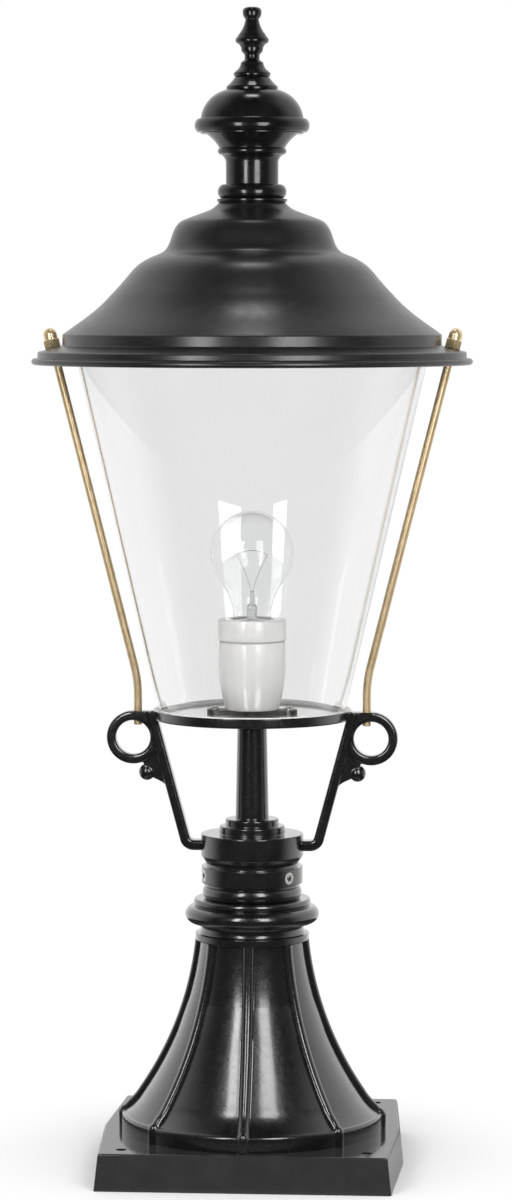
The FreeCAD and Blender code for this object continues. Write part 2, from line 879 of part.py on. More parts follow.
def set_screws():
    body = new_body("set_screws", several=True)
    inner = size.spigot_radius + size.set_screw_gap
    outer = size.screw_ring_radius - size.set_screw_sink
    shank = new_sketch(body, "shank_plan", "YZ_Plane")
    raise_sketch(shank, inner)
    draw_circle(shank, 0, screw_z, size.set_screw_radius)
    shank_pad = pad(body, shank, "shank", outer - inner)
    key = new_sketch(body, "key_plan", "YZ_Plane")
    raise_sketch(key, outer)
    draw(key, hexagon(size.set_screw_socket, 0, screw_z))
    key_pocket = pocket(body, key, "key", size.set_screw_socket_depth)
    polar_pattern(body, [shank_pad, key_pocket], "screws", size.set_screw_count)
    body.Placement = FreeCAD.Placement(FreeCAD.Vector(), FreeCAD.Rotation(FreeCAD.Vector(0, 0, 1), 1))
    bind(body, "Placement.Rotation.Angle", size.set_screw_azimuth)
    seat(body, joint_z)


def glass_and_seals():
    reach = size.tray_radius - size.tray_lip - size.seal_gap
    tray_seal = turned("tray_seal", [
        (reach - size.seal_width, 0),
        (reach, 0),
        (reach, size.seal_thickness),
        (reach - size.seal_width, size.seal_thickness),
    ])
    seat(tray_seal, floor_z)

    glass = turned("glass_shade", [
        (glass_foot_radius - glass_wall_across, 0),
        (glass_foot_radius, 0),
        (glass_out, size.glass_height),
        (glass_out - glass_wall_across, size.glass_height),
    ])
    seat(glass, glass_z)

    seal_in = glass_out - glass_wall_across
    cap_seal = turned("cap_seal", [
        (seal_in, 0),
        (seal_out, 0),
        (seal_out, size.cap_seal_edge),
        (seal_in, size.cap_seal_edge + (seal_out - seal_in) * bell_slope),
    ])
    seat(cap_seal, glass_top_z)


def back_along(corners, across, up):
    """The same outline moved by this much, and drawn from its end back to its start."""
    moved = []
    for number, corner in reversed(list(enumerate(corners))):
        following = corners[number + 1] if number + 1 < len(corners) else corner[:2]
        bow = tuple(-sag for sag in following[2:])
        moved.append((corner[0] + across, corner[1] + up) + bow)
    return moved


def lantern_cap():
    body = new_body("lantern_cap")
    bore = size.stud_radius + size.stud_clearance
    inside = rim_band_radius - size.cap_sheet
    outside = [
        (rim_band_radius, size.rim_bead_height),
        (rim_band_radius, rim_top - size.rim_edge),
        (flange_radius, rim_top, size.rim_edge * QUARTER),
        (hoop_radius, hoop_foot),
        (hoop_radius, hoop_top - size.hoop_edge),
        (hoop_top_radius, hoop_top, size.hoop_edge * QUARTER),
        (bell_low_radius, bell_low),
        (size.bell_mid_radius, bell_mid, -size.bell_mid_sag),
        (size.crease_radius, crease, size.bell_sag),
        (size.dome_side_radius, dome_side),
        (size.dome_shoulder_radius, dome_shoulder, size.dome_sag),
        (size.finial_seat_radius, cap_top),
    ]
    rolled_rim = [
        (inside, 0),
        (rim_radius - size.rim_bead_sag, 0),
        (rim_radius - size.rim_bead_sag, size.rim_bead_height, size.rim_bead_sag),
    ]
    crown_hole = [(bore, cap_top), (bore, cap_top - size.cap_sheet)]
    profile = new_sketch(body, "cap_profile")
    draw(profile, rolled_rim + outside + crown_hole + back_along(outside, -size.cap_sheet, -size.cap_sheet))
    revolve(body, profile, "spun_sheet")
    holes = new_sketch(body, "cap_holes_plan", "XY_Plane")
    for across in (nut_seat_radius, -nut_seat_radius):
        draw_circle(holes, across, 0, size.rod_radius + size.cap_hole_clearance)
    pocket(body, holes, "cap_holes", backwards=True)
    seat(body, cap_z)


def finial():
    bore = size.stud_radius + size.stud_clearance
    lip = size.urn_lip_rise + size.urn_lip_height
    ring = lip + size.urn_ring_height
    neck = ring + size.urn_neck_height
    cove = neck + size.urn_cove_height
    bead = cove + size.urn_bead_height
    urn_top = bead + size.urn_cup_height
    urn = turned("finial_urn", [
        (bore, 0),
        (size.finial_seat_radius, 0),
        (size.urn_lip_radius, size.urn_lip_rise),
        (size.urn_lip_radius, lip),
        (size.urn_ring_radius - size.urn_ring_sag, lip),
        (size.urn_ring_radius - size.urn_ring_sag, ring, size.urn_ring_sag),
        (size.urn_neck_radius, ring),
        (size.urn_neck_radius, neck),
        (size.urn_cove_radius, cove, -size.urn_cove_sag),
        (size.urn_bead_radius - size.urn_bead_sag, cove),
        (size.urn_bead_radius - size.urn_bead_sag, bead, size.urn_bead_sag),
        (size.urn_cup_radius, urn_top, -size.urn_cup_sag),
        (bore, urn_top),
    ])
    urn_z = cap_z + cap_top
    seat(urn, urn_z)

    ledge = size.brim_ledge_height
    brim = ledge + size.brim_height
    round_top = brim + size.dome_height
    dome_top = round_top + size.cone_height
    dome = turned("finial_dome", [
        (bore, 0),
        (size.brim_ledge_radius, 0),
        (size.brim_ledge_radius, ledge),
        (size.brim_radius - size.brim_sag, ledge),
        (size.brim_radius - size.brim_sag, brim, size.brim_sag),
        (size.dome_radius, brim),
        (size.cone_radius, round_top, size.dome_arc_sag),
        (size.cone_top_radius, dome_top, -size.cone_sag),
        (bore, dome_top),
    ])
    seat(dome, urn_z + urn_top)

    ring = size.spire_ring_height
    waist = ring + size.spire_waist_rise
    waist_top = waist + size.spire_waist_height
    belly = waist_top + size.spire_belly_rise
    belly_top = belly + size.spire_belly_height
    slim = belly_top + size.spire_neck_rise
    knob = slim + size.spire_knob_height
    spire_top = knob + size.spire_crown_height
    spire = turned("finial_spire", [
        (0, size.spire_hole_depth),
        (bore, size.spire_hole_depth),
        (bore, 0),
        (size.spire_ring_radius - size.spire_ring_sag, 0),
        (size.spire_ring_radius - size.spire_ring_sag, ring, size.spire_ring_sag),
        (size.spire_waist_radius, waist, -size.spire_waist_sag),
        (size.spire_waist_radius, waist_top),
        (size.spire_belly_radius, belly),
        (size.spire_belly_radius, belly_top, size.spire_belly_sag),
        (size.spire_neck_radius, slim, -size.spire_neck_sag),
        (size.spire_knob_radius, knob, size.spire_knob_sag),
        (0, spire_top, crown_sag(size.spire_knob_radius, size.spire_crown_height)),
    ])
    spire_z = urn_z + urn_top + dome_top
    seat(spire, spire_z)

    under = urn_z - size.cap_sheet
    washer = turned("stud_washer", [
        (bore, -size.stud_washer_thickness),
        (size.stud_washer_radius, -size.stud_washer_thickness),
        (size.stud_washer_radius, 0),
        (bore, 0),
    ])
    seat(washer, under)

    nut_under = under - size.stud_washer_thickness - size.stud_nut_height
    nut = new_body("stud_nut")
    nut_plan = new_sketch(nut, "stud_nut_plan", "XY_Plane")
    draw(nut_plan, hexagon(size.stud_nut_width))
    draw_circle(nut_plan, 0, 0, size.stud_radius + size.thread_clearance)
    pad(nut, nut_plan, "stud_nut_pad", size.stud_nut_height)
    seat(nut, nut_under)

    stud_z = nut_under - size.stud_tail
    length = spire_z + size.spire_hole_depth - stud_z - size.stud_clearance
    stud = turned("finial_stud", [
        (0, 0),
        (size.stud_radius, 0),
        (size.stud_radius, length),
        (0, length),
    ])
    seat(stud, stud_z)


def tie_rod(label, side):
    """A brass rod: upright through the arm's lug, then bent out along the glass to the cap's rim."""
    body = new_body(label)
    seat_up = cap_z + nut_seat - joint_z
    corner = seat_up - (nut_seat_radius - rod_foot_x) / tangent(size.rod_tilt)
    half_turn = size.rod_tilt / 2
    run = size.rod_bend_radius * tangent(half_turn)
    rise = size.nut_bore_depth - size.rod_end_gap
    eye = root(size.loop_hole_radius * size.loop_hole_radius
               - (loop_x - rod_foot_x) * (loop_x - rod_foot_x))
    foot = loop_z + eye - size.rod_tail
    path = new_sketch(body, label + "_path")
    draw(path, [
        (rod_foot_x * side, foot),
        (rod_foot_x * side, corner - run),
        ((rod_foot_x + run * sine(size.rod_tilt)) * side, corner + run * cosine(size.rod_tilt),
         size.rod_bend_radius * (as_size(1) - cosine(half_turn)) * -side),
        ((nut_seat_radius + rise * sine(size.rod_tilt)) * side, seat_up + rise * cosine(size.rod_tilt)),
    ], closed=False)
    section = new_sketch(body, label + "_section", "XY_Plane")
    raise_sketch(section, foot)
    draw_circle(section, rod_foot_x * side, 0, size.rod_radius)
    pipe(body, section, path, label + "_bar")
    seat(body, joint_z)


def cap_nuts():
    """Domed nuts that draw the cap down on the glass, square to the rods."""
    body = new_body("cap_nuts", several=True)
    seat_x = nut_seat_radius + sine(size.rod_tilt) * size.nut_seat_gap
    seat_up = nut_seat + cosine(size.rod_tilt) * size.nut_seat_gap

    def flat_sketch(name):
        sketch = new_sketch(body, name, "XY_Plane")
        tilt = FreeCAD.Rotation(FreeCAD.Vector(0, 1, 0), 1)
        sketch.AttachmentOffset = FreeCAD.Placement(FreeCAD.Vector(), tilt)
        bind(sketch, "AttachmentOffset.Rotation.Angle", size.rod_tilt)
        bind(sketch, "AttachmentOffset.Base.x", seat_x)
        bind(sketch, "AttachmentOffset.Base.z", seat_up)
        return sketch

    plan = flat_sketch("nut_plan")
    draw(plan, hexagon(size.nut_width))
    hex_pad = pad(body, plan, "nut_hex", size.nut_hex_height)

    dome = new_sketch(body, "nut_dome_profile")
    lean = FreeCAD.Rotation(FreeCAD.Vector(0, 0, -1), 1)
    dome.AttachmentOffset = FreeCAD.Placement(FreeCAD.Vector(), lean)
    bind(dome, "AttachmentOffset.Rotation.Angle", size.rod_tilt)
    bind(dome, "AttachmentOffset.Base.x", seat_x)
    bind(dome, "AttachmentOffset.Base.y", seat_up)
    top = size.nut_hex_height + size.nut_dome_height
    draw(dome, [
        (0, size.nut_hex_height / 2),
        (size.nut_dome_radius, size.nut_hex_height / 2),
        (size.nut_dome_radius, top - size.nut_dome_radius),
        (0, top, size.nut_dome_radius * QUARTER),
    ])
    dome_turn = revolve(body, dome, "nut_dome")

    bore = flat_sketch("nut_bore_plan")
    draw_circle(bore, 0, 0, size.rod_radius + size.nut_bore_clearance)
    bore_pocket = pocket(body, bore, "nut_bore", size.nut_bore_depth, backwards=True)
    mirror(body, [hex_pad, dome_turn, bore_pocket], "both_nuts", "YZ_Plane")
    seat(body, cap_z)


def lampholder():
    """Porcelain lampholder on a strap across the tray, with its shell and contact inside."""
    strap = new_body("holder_strap")
    plan = new_sketch(strap, "strap_plan", "XY_Plane")
    straight = size.strap_half_length - size.strap_half_width
    side = size.strap_half_width
    draw(plan, [
        (-straight, -side, side * QUARTER),
        (straight, -side),
        (size.strap_half_length, 0, side * QUARTER),
        (straight, side, side * QUARTER),
        (-straight, side),
        (-size.strap_half_length, 0, side * QUARTER),
    ])
    for across in (size.strap_screw_x, -size.strap_screw_x):
        draw_circle(plan, across, 0, size.strap_screw_radius + size.thread_clearance)
    draw_circle(plan, 0, 0, size.nipple_radius + size.thread_clearance)
    pad(strap, plan, "strap", size.strap_thickness)
    seat(strap, floor_z)
    strap_top = floor_z + size.strap_thickness

    screws = new_body("strap_screws", several=True)
    screw = new_sketch(screws, "strap_screw_profile")
    bind(screw, "AttachmentOffset.Base.x", size.strap_screw_x)
    draw(screw, [
        (0, -size.strap_screw_length),
        (size.strap_screw_radius, -size.strap_screw_length),
        (size.strap_screw_radius, 0),
        (size.strap_head_radius, 0),
        (size.strap_head_radius, size.strap_head_edge),
        (0, size.strap_head_edge + size.strap_head_crown,
         crown_sag(size.strap_head_radius, size.strap_head_crown)),
    ])
    screw_turn = revolve(screws, screw, "strap_screw")
    mirror(screws, [screw_turn], "both_screws", "YZ_Plane")
    seat(screws, strap_top)

    nipple = turned("holder_nipple", [
        (size.nipple_bore_radius, -size.nipple_tail),
        (size.nipple_radius, -size.nipple_tail),
        (size.nipple_radius, size.nipple_height),
        (size.nipple_bore_radius, size.nipple_height),
    ])
    seat(nipple, floor_z)

    hole = size.nipple_radius + size.thread_clearance
    chamber = size.shell_radius + size.shell_clearance
    holder = turned("holder_body", [
        (hole, 0),
        (size.holder_foot_radius, 0),
        (size.holder_radius, size.holder_cone_height, size.holder_cone_sag),
        (size.holder_radius, size.holder_height - size.holder_edge),
        (size.holder_radius - size.holder_edge, size.holder_height, size.holder_edge * QUARTER),
        (chamber, size.holder_height),
        (chamber, size.holder_floor),
        (hole, size.holder_floor),
    ])
    seat(holder, strap_top)

    ring = turned("holder_ring", [
        (chamber, 0),
        (size.holder_ring_radius - size.holder_edge, 0),
        (size.holder_ring_radius, size.holder_edge, size.holder_edge * QUARTER),
        (size.holder_ring_radius, size.holder_ring_height - size.holder_edge),
        (size.holder_ring_radius - size.holder_edge, size.holder_ring_height, size.holder_edge * QUARTER),
        (chamber, size.holder_ring_height),
    ])
    seat(ring, strap_top + size.holder_height)

    holder_floor_z = strap_top + size.holder_floor
    thin = size.shell_radius - size.shell_wall
    shell = turned("screw_shell", [
        (size.shell_radius - size.shell_flange, 0),
        (size.shell_radius, 0),
        (size.shell_radius, size.shell_height),
        (thin, size.shell_height),
        (thin, size.shell_wall),
        (size.shell_radius - size.shell_flange, size.shell_wall),
    ])
    seat(shell, holder_floor_z)

    contact = turned("centre_contact", [
        (0, 0),
        (size.contact_radius, 0),
        (size.contact_radius, size.contact_base_height),
        (size.contact_post_radius, size.contact_base_height),
        (size.contact_post_radius, size.bulb_seat),
        (0, size.bulb_seat),
    ])
    seat(contact, holder_floor_z)
    return holder_floor_z + size.bulb_seat


def bulb(bulb_z):
    """Clear filament bulb with a screw cap, standing on the centre contact."""
    tip = turned("bulb_tip", [
        (0, 0),
        (size.contact_post_radius, 0),
        (size.tip_radius, size.tip_height),
        (0, size.tip_height),
    ])
    seat(tip, bulb_z)

    cap_foot = size.tip_height + size.insulator_height
    insulator = turned("bulb_insulator", [
        (0, size.tip_height),
        (size.tip_radius, size.tip_height),
        (size.insulator_radius, cap_foot),
        (0, cap_foot),
    ])
    seat(insulator, bulb_z)

    cap_head = cap_foot + size.bulb_cap_height
    thin = size.bulb_cap_radius - size.bulb_cap_wall
    cap = turned("bulb_cap", [
        (size.tip_radius, cap_foot),
        (size.insulator_radius, cap_foot),
        (size.bulb_cap_radius, cap_foot + size.bulb_cap_cone),
        (size.bulb_cap_radius, cap_head),
        (thin, cap_head),
        (thin, cap_foot + size.bulb_cap_cone),
        (size.insulator_radius, cap_foot + size.bulb_cap_wall),
        (size.tip_radius, cap_foot + size.bulb_cap_wall),
    ])
    seat(cap, bulb_z)

    neck_foot = cap_head - size.envelope_sink
    neck_top = neck_foot + size.envelope_neck_height
    shoulder = neck_top + size.envelope_shoulder_rise
    equator = shoulder + size.envelope_equator_rise
    neck = thin - size.thread_clearance
    wall = size.envelope_wall
    round_radius = size.envelope_radius
    inner_round = round_radius - wall
    envelope = turned("bulb_envelope", [
        (neck - wall, neck_foot),
        (neck, neck_foot),
        (neck, neck_top),
        (size.envelope_shoulder_radius, shoulder, -size.envelope_shoulder_sag),
        (round_radius, equator, size.envelope_cheek_sag),
        (0, equator + round_radius, round_radius * QUARTER),
        (0, equator + inner_round),
        (inner_round, equator, inner_round * -QUARTER),
        (size.envelope_shoulder_radius - wall, shoulder, -size.envelope_cheek_sag),
        (neck - wall, neck_top, size.envelope_shoulder_sag),
    ])
    seat(envelope, bulb_z)

    stem = neck - wall - size.thread_clearance
    mount_top = neck_foot + size.mount_height
    mount = turned("bulb_mount", [
        (0, neck_foot),
        (stem, neck_foot),
        (stem, neck_foot + size.envelope_wall),
        (size.mount_tube_radius, neck_foot + size.mount_flare_height, -size.envelope_wall),
        (size.mount_tube_radius, mount_top - size.mount_pinch_height),
        (size.mount_pinch_radius, mount_top),
        (0, mount_top),
    ])
    seat(mount, bulb_z)

    leads = new_body("bulb_leads", several=True)
    knee = mount_top + size.lead_bend_rise
    lead_tip = mount_top + size.lead_rise
    path = new_sketch(leads, "lead_path")
    draw(path, [
        (size.lead_foot_x, mount_top),
        (size.lead_foot_x, knee),
        (size.lead_tip_x, lead_tip, -size.lead_sag),
    ], closed=False)
    section = new_sketch(leads, "lead_section", "XY_Plane")
    raise_sketch(section, mount_top)
    draw_circle(section, size.lead_foot_x, 0, size.lead_radius)
    lead = pipe(leads, section, path, "lead")
    mirror(leads, [lead], "both_leads", "YZ_Plane")
    seat(leads, bulb_z)

    coil = new_body("filament")
    reach = size.lead_tip_x - size.filament_gap
    coil_path = new_sketch(coil, "filament_path")
    draw(coil_path, [
        (-reach, lead_tip),
        (reach, lead_tip, -size.filament_sag),
    ], closed=False)
    coil_section = new_sketch(coil, "filament_section", "YZ_Plane")
    raise_sketch(coil_section, -reach)
    draw_circle(coil_section, 0, lead_tip, size.filament_radius)
    pipe(coil, coil_section, coil_path, "filament_bar")
    seat(coil, bulb_z)


pedestal_foot()
lantern_bracket()
set_screws()
glass_and_seals()
lantern_cap()
finial()
tie_rod("tie_rod_left", -1)
tie_rod("tie_rod_right", 1)
cap_nuts()
bulb(lampholder())


def check_and_write():
    """Stops on any failed object or bad solid, then writes one file for each node."""
    doc.recompute()
    for item in doc.Objects:
        if "Invalid" in item.State or "Error" in item.State:
            raise RuntimeError("%s is in state %s" % (item.Label, item.State))
    os.makedirs("parts", exist_ok=True)
    for node in NODES:
        if node.Shape.isNull() or not node.Shape.isValid():
            raise RuntimeError("%s has no valid shape" % node.Label)
        if abs(node.Shape.Volume / node.Tip.Shape.Volume - 1) > HAIR:
            raise RuntimeError("%s is not up to date" % node.Label)
        node.Shape.exportStep("parts/%s.step" % node.Label)
        print("%-18s %2d solid %12.1f mm3" % (node.Label, len(node.Shape.Solids), node.Shape.Volume))


check_and_write()
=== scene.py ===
"""A garden lamp: cast foot and bracket, clear shade, spun cap with a finial, brass tie rods and a bulb."""

import math

import bmesh
import bpy
from mathutils import Matrix, Vector


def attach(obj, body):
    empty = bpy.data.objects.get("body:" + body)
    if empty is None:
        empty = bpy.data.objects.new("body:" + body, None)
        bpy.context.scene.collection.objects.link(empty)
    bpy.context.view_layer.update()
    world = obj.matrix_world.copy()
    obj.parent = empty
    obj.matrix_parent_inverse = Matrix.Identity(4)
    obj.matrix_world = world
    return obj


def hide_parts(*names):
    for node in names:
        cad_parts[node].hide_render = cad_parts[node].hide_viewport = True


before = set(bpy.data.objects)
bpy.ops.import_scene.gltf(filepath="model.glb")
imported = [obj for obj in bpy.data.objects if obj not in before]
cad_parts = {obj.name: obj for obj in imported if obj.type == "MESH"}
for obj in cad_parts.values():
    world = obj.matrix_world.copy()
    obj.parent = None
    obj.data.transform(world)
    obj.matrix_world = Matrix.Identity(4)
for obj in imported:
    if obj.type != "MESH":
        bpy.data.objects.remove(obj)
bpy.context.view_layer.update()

MM = 0.001            # sizes are written in millimetres
SEAT = 178.8          # height at which the head turns on the foot
CAP = 533.74          # height of the cap's rim
URN = 639.94          # feet of the three finial parts
DOME = 685.24
SPIRE = 722.44
HOLDER = 306.0        # foot of the lampholder


# ---------------------------------------------------------------- outlines

def arc(start, end, sag, step):
    """Points after start on the arc to end, which bows by sag to the right of its chord."""
    start = Vector(start)
    end = Vector(end)
    span = end - start
    chord = span.length
    right = Vector((span.y, -span.x)) / chord
    side = math.copysign(1.0, sag)
    radius = chord * chord / (8 * abs(sag)) + abs(sag) / 2
    centre = (start + end) / 2 + right * (sag - side * radius)
    swing = 4 * math.atan(2 * abs(sag) / chord) * side
    count = max(5, math.ceil(radius * abs(swing) / step))
    spoke = start - centre
    points = []
    for index in range(1, count + 1):
        turn = Matrix.Rotation(swing * index / count, 2)
        points.append(centre + turn @ spoke)
    return points


def trace(corners, soft=0.45, step=1.2, up=0.0):
    """A fine outline through corners (radius, height, sag), with every sharp corner eased by soft."""
    dense = [Vector(corners[0][:2])]
    for corner in corners[1:]:
        if len(corner) == 3:
            dense += arc(dense[-1], corner[:2], corner[2], step)
        else:
            dense.append(Vector(corner[:2]))
    line = [dense[0]]
    for before, here, after in zip(dense, dense[1:], dense[2:]):
        into = here - before
        out = after - here
        if into.length < 1e-6 or out.length < 1e-6 or into.angle(out) < math.radians(20):
            line.append(here)
            continue
        reach = min(soft, into.length * 0.45, out.length * 0.45)
        first = here - into.normalized() * reach
        last = here + out.normalized() * reach
        for share in (0.0, 0.2, 0.4, 0.6, 0.8, 1.0):
            line.append(first * (1 - share) ** 2 + here * 2 * share * (1 - share) + last * share ** 2)
    line.append(dense[-1])
    return [Vector((point.x, point.y + up)) for point in line]


def thin(line, longest):
    """The outline with long runs divided, so that nothing on it is coarser than longest."""
    fine = [line[0]]
    for start, end in zip(line, line[1:]):
        count = max(1, math.ceil((end - start).length / longest))
        for index in range(1, count + 1):
            fine.append(start.lerp(end, index / count))
    return fine


def ironed(line, reach):
    """The outline with its corners drawn out over a reach, as spinning leaves sheet; the ends stay."""
    even = thin(line, 1.0)
    smooth = []
    last = len(even) - 1
    for index, point in enumerate(even):
        span = min(index, last - index, round(3 * reach))
        total = Vector((0, 0))
        weight = 0.0
        for step in range(-span, span + 1):
            share = math.exp(-0.5 * (step / reach) ** 2)
            total += even[index + step] * share
            weight += share
        smooth.append(total / weight)
    return smooth


# ---------------------------------------------------------------- meshes

def skin(bm, rings, closed=False):
    """Faces between rings of vertices; a ring of one vertex is a pole."""
    pairs = list(zip(rings, rings[1:]))
    if closed:
        pairs.append((rings[-1], rings[0]))
    for low, high in pairs:
        count = max(len(low), len(high))
        if count == 1:
            continue
        for index in range(count):
            after = (index + 1) % count
            if len(low) == 1:
                corners = (low[0], high[after], high[index])
            elif len(high) == 1:
                corners = (low[index], low[after], high[0])
            else:
                corners = (low[index], low[after], high[after], high[index])
            bm.faces.new(corners)


def around(point, azimuth):
    """The spot in the scene at a point (radius, height) of an outline and an azimuth."""
    return Vector((point.x * math.cos(azimuth), point.x * math.sin(azimuth), point.y)) * MM


def spin(bm, line, turns=160, closed=False):
    """Turns an outline about the upright axis."""
    rings = []
    for point in line:
        if point.x < 1e-4:
            rings.append([bm.verts.new((0, 0, point.y * MM))])
            continue
        rings.append([bm.verts.new(around(point, math.tau * index / turns)) for index in range(turns)])
    skin(bm, rings, closed)


def rounded(width, height, corner, steps=5):
    """Outline of a rounded rectangle about its middle."""
    points = []
    for quarter in range(4):
        turn = math.pi / 2 * quarter
        sign_x = 1 if quarter in (0, 3) else -1
        sign_y = 1 if quarter in (0, 1) else -1
        middle = Vector((sign_x * (width / 2 - corner), sign_y * (height / 2 - corner)))
        for index in range(steps + 1):
            angle = turn + math.pi / 2 * index / steps
            points.append(middle + corner * Vector((math.cos(angle), math.sin(angle))))
    return points


def disc(radius, steps=20):
    """Outline of a circle about its middle."""
    angles = [math.tau * index / steps for index in range(steps)]
    return [Vector((math.cos(angle), math.sin(angle))) * radius for angle in angles]


def sweep(bm, path, section, closed=False):
    """Carries a section (in plane, across) along a path of (x, z) points; an open path gets flat ends."""
    rings = []
    last = len(path) - 1
    for index, point in enumerate(path):
        before = path[index - 1] if index or closed else point
        after = path[(index + 1) % len(path)] if index < last or closed else point
        along = (after - before).normalized()
        side = Vector((along.y, -along.x))
        ring = []
        for across in section:
            spot = point + side * across.x
            ring.append(bm.verts.new(Vector((spot.x, across.y, spot.y)) * MM))
        rings.append(ring)
    skin(bm, rings, closed)
    if not closed:
        bm.faces.new(list(reversed(rings[0])))
        bm.faces.new(rings[-1])


def slab(bm, corners, thickness):
    """An upright plate: an outline of (x, z) points, half the thickness each way across."""
    near = [bm.verts.new(Vector((x, -thickness / 2, z)) * MM) for x, z in corners]
    far = [bm.verts.new(Vector((x, thickness / 2, z)) * MM) for x, z in corners]
    bm.faces.new(near)
    bm.faces.new(list(reversed(far)))
    for index in range(len(corners)):
        after = (index + 1) % len(corners)
        bm.faces.new((near[after], near[index], far[index], far[after]))


def ball(bm, centre, radius):
    """A fine ball at (x, z) in the plane of the arms."""
    stand = Matrix.Translation(Vector((centre[0], 0, centre[1])) * MM)
    bmesh.ops.create_uvsphere(bm, u_segments=48, v_segments=32, radius=radius * MM, matrix=stand)


def mirrored(bm):
    """Adds the left-hand copy of everything on the right."""
    copy = bmesh.ops.duplicate(bm, geom=bm.verts[:] + bm.edges[:] + bm.faces[:])["geom"]
    for item in copy:
        if isinstance(item, bmesh.types.BMVert):
            item.co.x = -item.co.x
    bmesh.ops.reverse_faces(bm, faces=[item for item in copy if isinstance(item, bmesh.types.BMFace)])


def as_object(name, bm, crease=40):
    """A scene object from a bmesh, smooth except at creases."""
    bmesh.ops.recalc_face_normals(bm, faces=bm.faces)
    mesh = bpy.data.meshes.new(name)
    bm.to_mesh(mesh)
    bm.free()
    mesh.shade_smooth()
    mesh.set_sharp_from_angle(angle=math.radians(crease))
    obj = bpy.data.objects.new(name, mesh)
    bpy.context.scene.collection.objects.link(obj)
    return obj


def settle(obj):
    """Works the object's modifiers into its mesh."""
    graph = bpy.context.evaluated_depsgraph_get()
    mesh = bpy.data.meshes.new_from_object(obj.evaluated_get(graph))
    obj.modifiers.clear()
    old = obj.data
    obj.data = mesh
    bpy.data.meshes.remove(old)


def cut(obj, bm, crease=40):
    """Takes the shapes in a bmesh out of an object."""
    tool = as_object(obj.name + "_tool", bm)
    change = obj.modifiers.new("cut", "BOOLEAN")
    change.operation = "DIFFERENCE"
    change.solver = "EXACT"
    change.object = tool
    settle(obj)
    bpy.data.objects.remove(tool)
    obj.data.shade_smooth()
    obj.data.set_sharp_from_angle(angle=math.radians(crease))


def rod_tool(bm, start, end, radius, steps=40):
    """A round cutter from one point to another."""
    start = Vector(start)
    end = Vector(end)
    along = end - start
    stand = Matrix.Translation((start + end) / 2 * MM) @ along.to_track_quat("Z", "Y").to_matrix().to_4x4()
    bmesh.ops.create_cone(bm, cap_ends=True, segments=steps, radius1=radius * MM, radius2=radius * MM,
                          depth=along.length * MM, matrix=stand)


def shade_evenly(obj):
    """Lets the large faces lead the shading of a piece."""
    weigh = obj.modifiers.new("even_shading", "WEIGHTED_NORMAL")
    weigh.keep_sharp = True


def place(obj, body, material, slot, *nodes):
    """Gives a piece its finish and its body, and lets it stand for its nodes."""
    obj.data.materials.clear()
    obj.data.materials.append(material)
    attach(obj, body)
    if nodes:
        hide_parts(*nodes)
    return obj


# ---------------------------------------------------------------- finishes

COLOUR_SPAN = (0.32, 0.68)    # the part of the noise over which a finish goes from dark to light
RUB_SPAN = (0.3, 0.7)         # and from smooth to rough


def map_range(tree, value, low, high, at_low=0.0, at_high=1.0, smooth=False):
    """A socket that goes from at_low to at_high while value goes from low to high."""
    node = tree.nodes.new("ShaderNodeMapRange")
    if smooth:
        node.interpolation_type = "SMOOTHSTEP"
    for socket, number in (("From Min", low), ("From Max", high), ("To Min", at_low), ("To Max", at_high)):
        node.inputs[socket].default_value = number
    tree.links.new(value, node.inputs["Value"])
    return node.outputs["Result"]


def finish(name, dark, light, rough, grain, bump=0.0, bump_grain=None, wave=0.0, wave_grain=60.0, **sockets):
    """A finish that drifts between two colours and two roughnesses, with a fine bump over a broad wave."""
    material = bpy.data.materials.new(name)
    material.use_nodes = True
    nodes = material.node_tree.nodes
    links = material.node_tree.links
    shader = nodes["Principled BSDF"]
    coords = nodes.new("ShaderNodeTexCoord")

    def cloud(scale, detail, roughness):
        """A noise fixed to the object."""
        texture = nodes.new("ShaderNodeTexNoise")
        texture.inputs["Scale"].default_value = scale
        texture.inputs["Detail"].default_value = detail
        texture.inputs["Roughness"].default_value = roughness
        links.new(coords.outputs["Object"], texture.inputs["Vector"])
        return texture.outputs["Fac"]

    colours = nodes.new("ShaderNodeValToRGB")
    for stop, position, colour in zip(colours.color_ramp.elements, COLOUR_SPAN, (dark, light)):
        stop.position = position
        stop.color = (*colour, 1)
    links.new(cloud(grain, 6, 0.6), colours.inputs["Fac"])
    links.new(colours.outputs["Color"], shader.inputs["Base Color"])
    rub = map_range(material.node_tree, cloud(grain * 2.7, 4, 0.55), *RUB_SPAN, *rough)
    links.new(rub, shader.inputs["Roughness"])
    normal = None
    for height, scale, detail in ((wave, wave_grain, 2), (bump, bump_grain or grain, 4)):
        if not height:
            continue
        relief = nodes.new("ShaderNodeBump")
        relief.inputs["Strength"].default_value = 1.0
        relief.inputs["Distance"].default_value = height * MM
        links.new(cloud(scale, detail, 0.5), relief.inputs["Height"])
        if normal:
            links.new(normal, relief.inputs["Normal"])
        normal = relief.outputs["Normal"]
    if normal:
        links.new(normal, shader.inputs["Normal"])
    for socket, value in sockets.items():
        shader.inputs[socket.replace("_", " ")].default_value = value
    return material


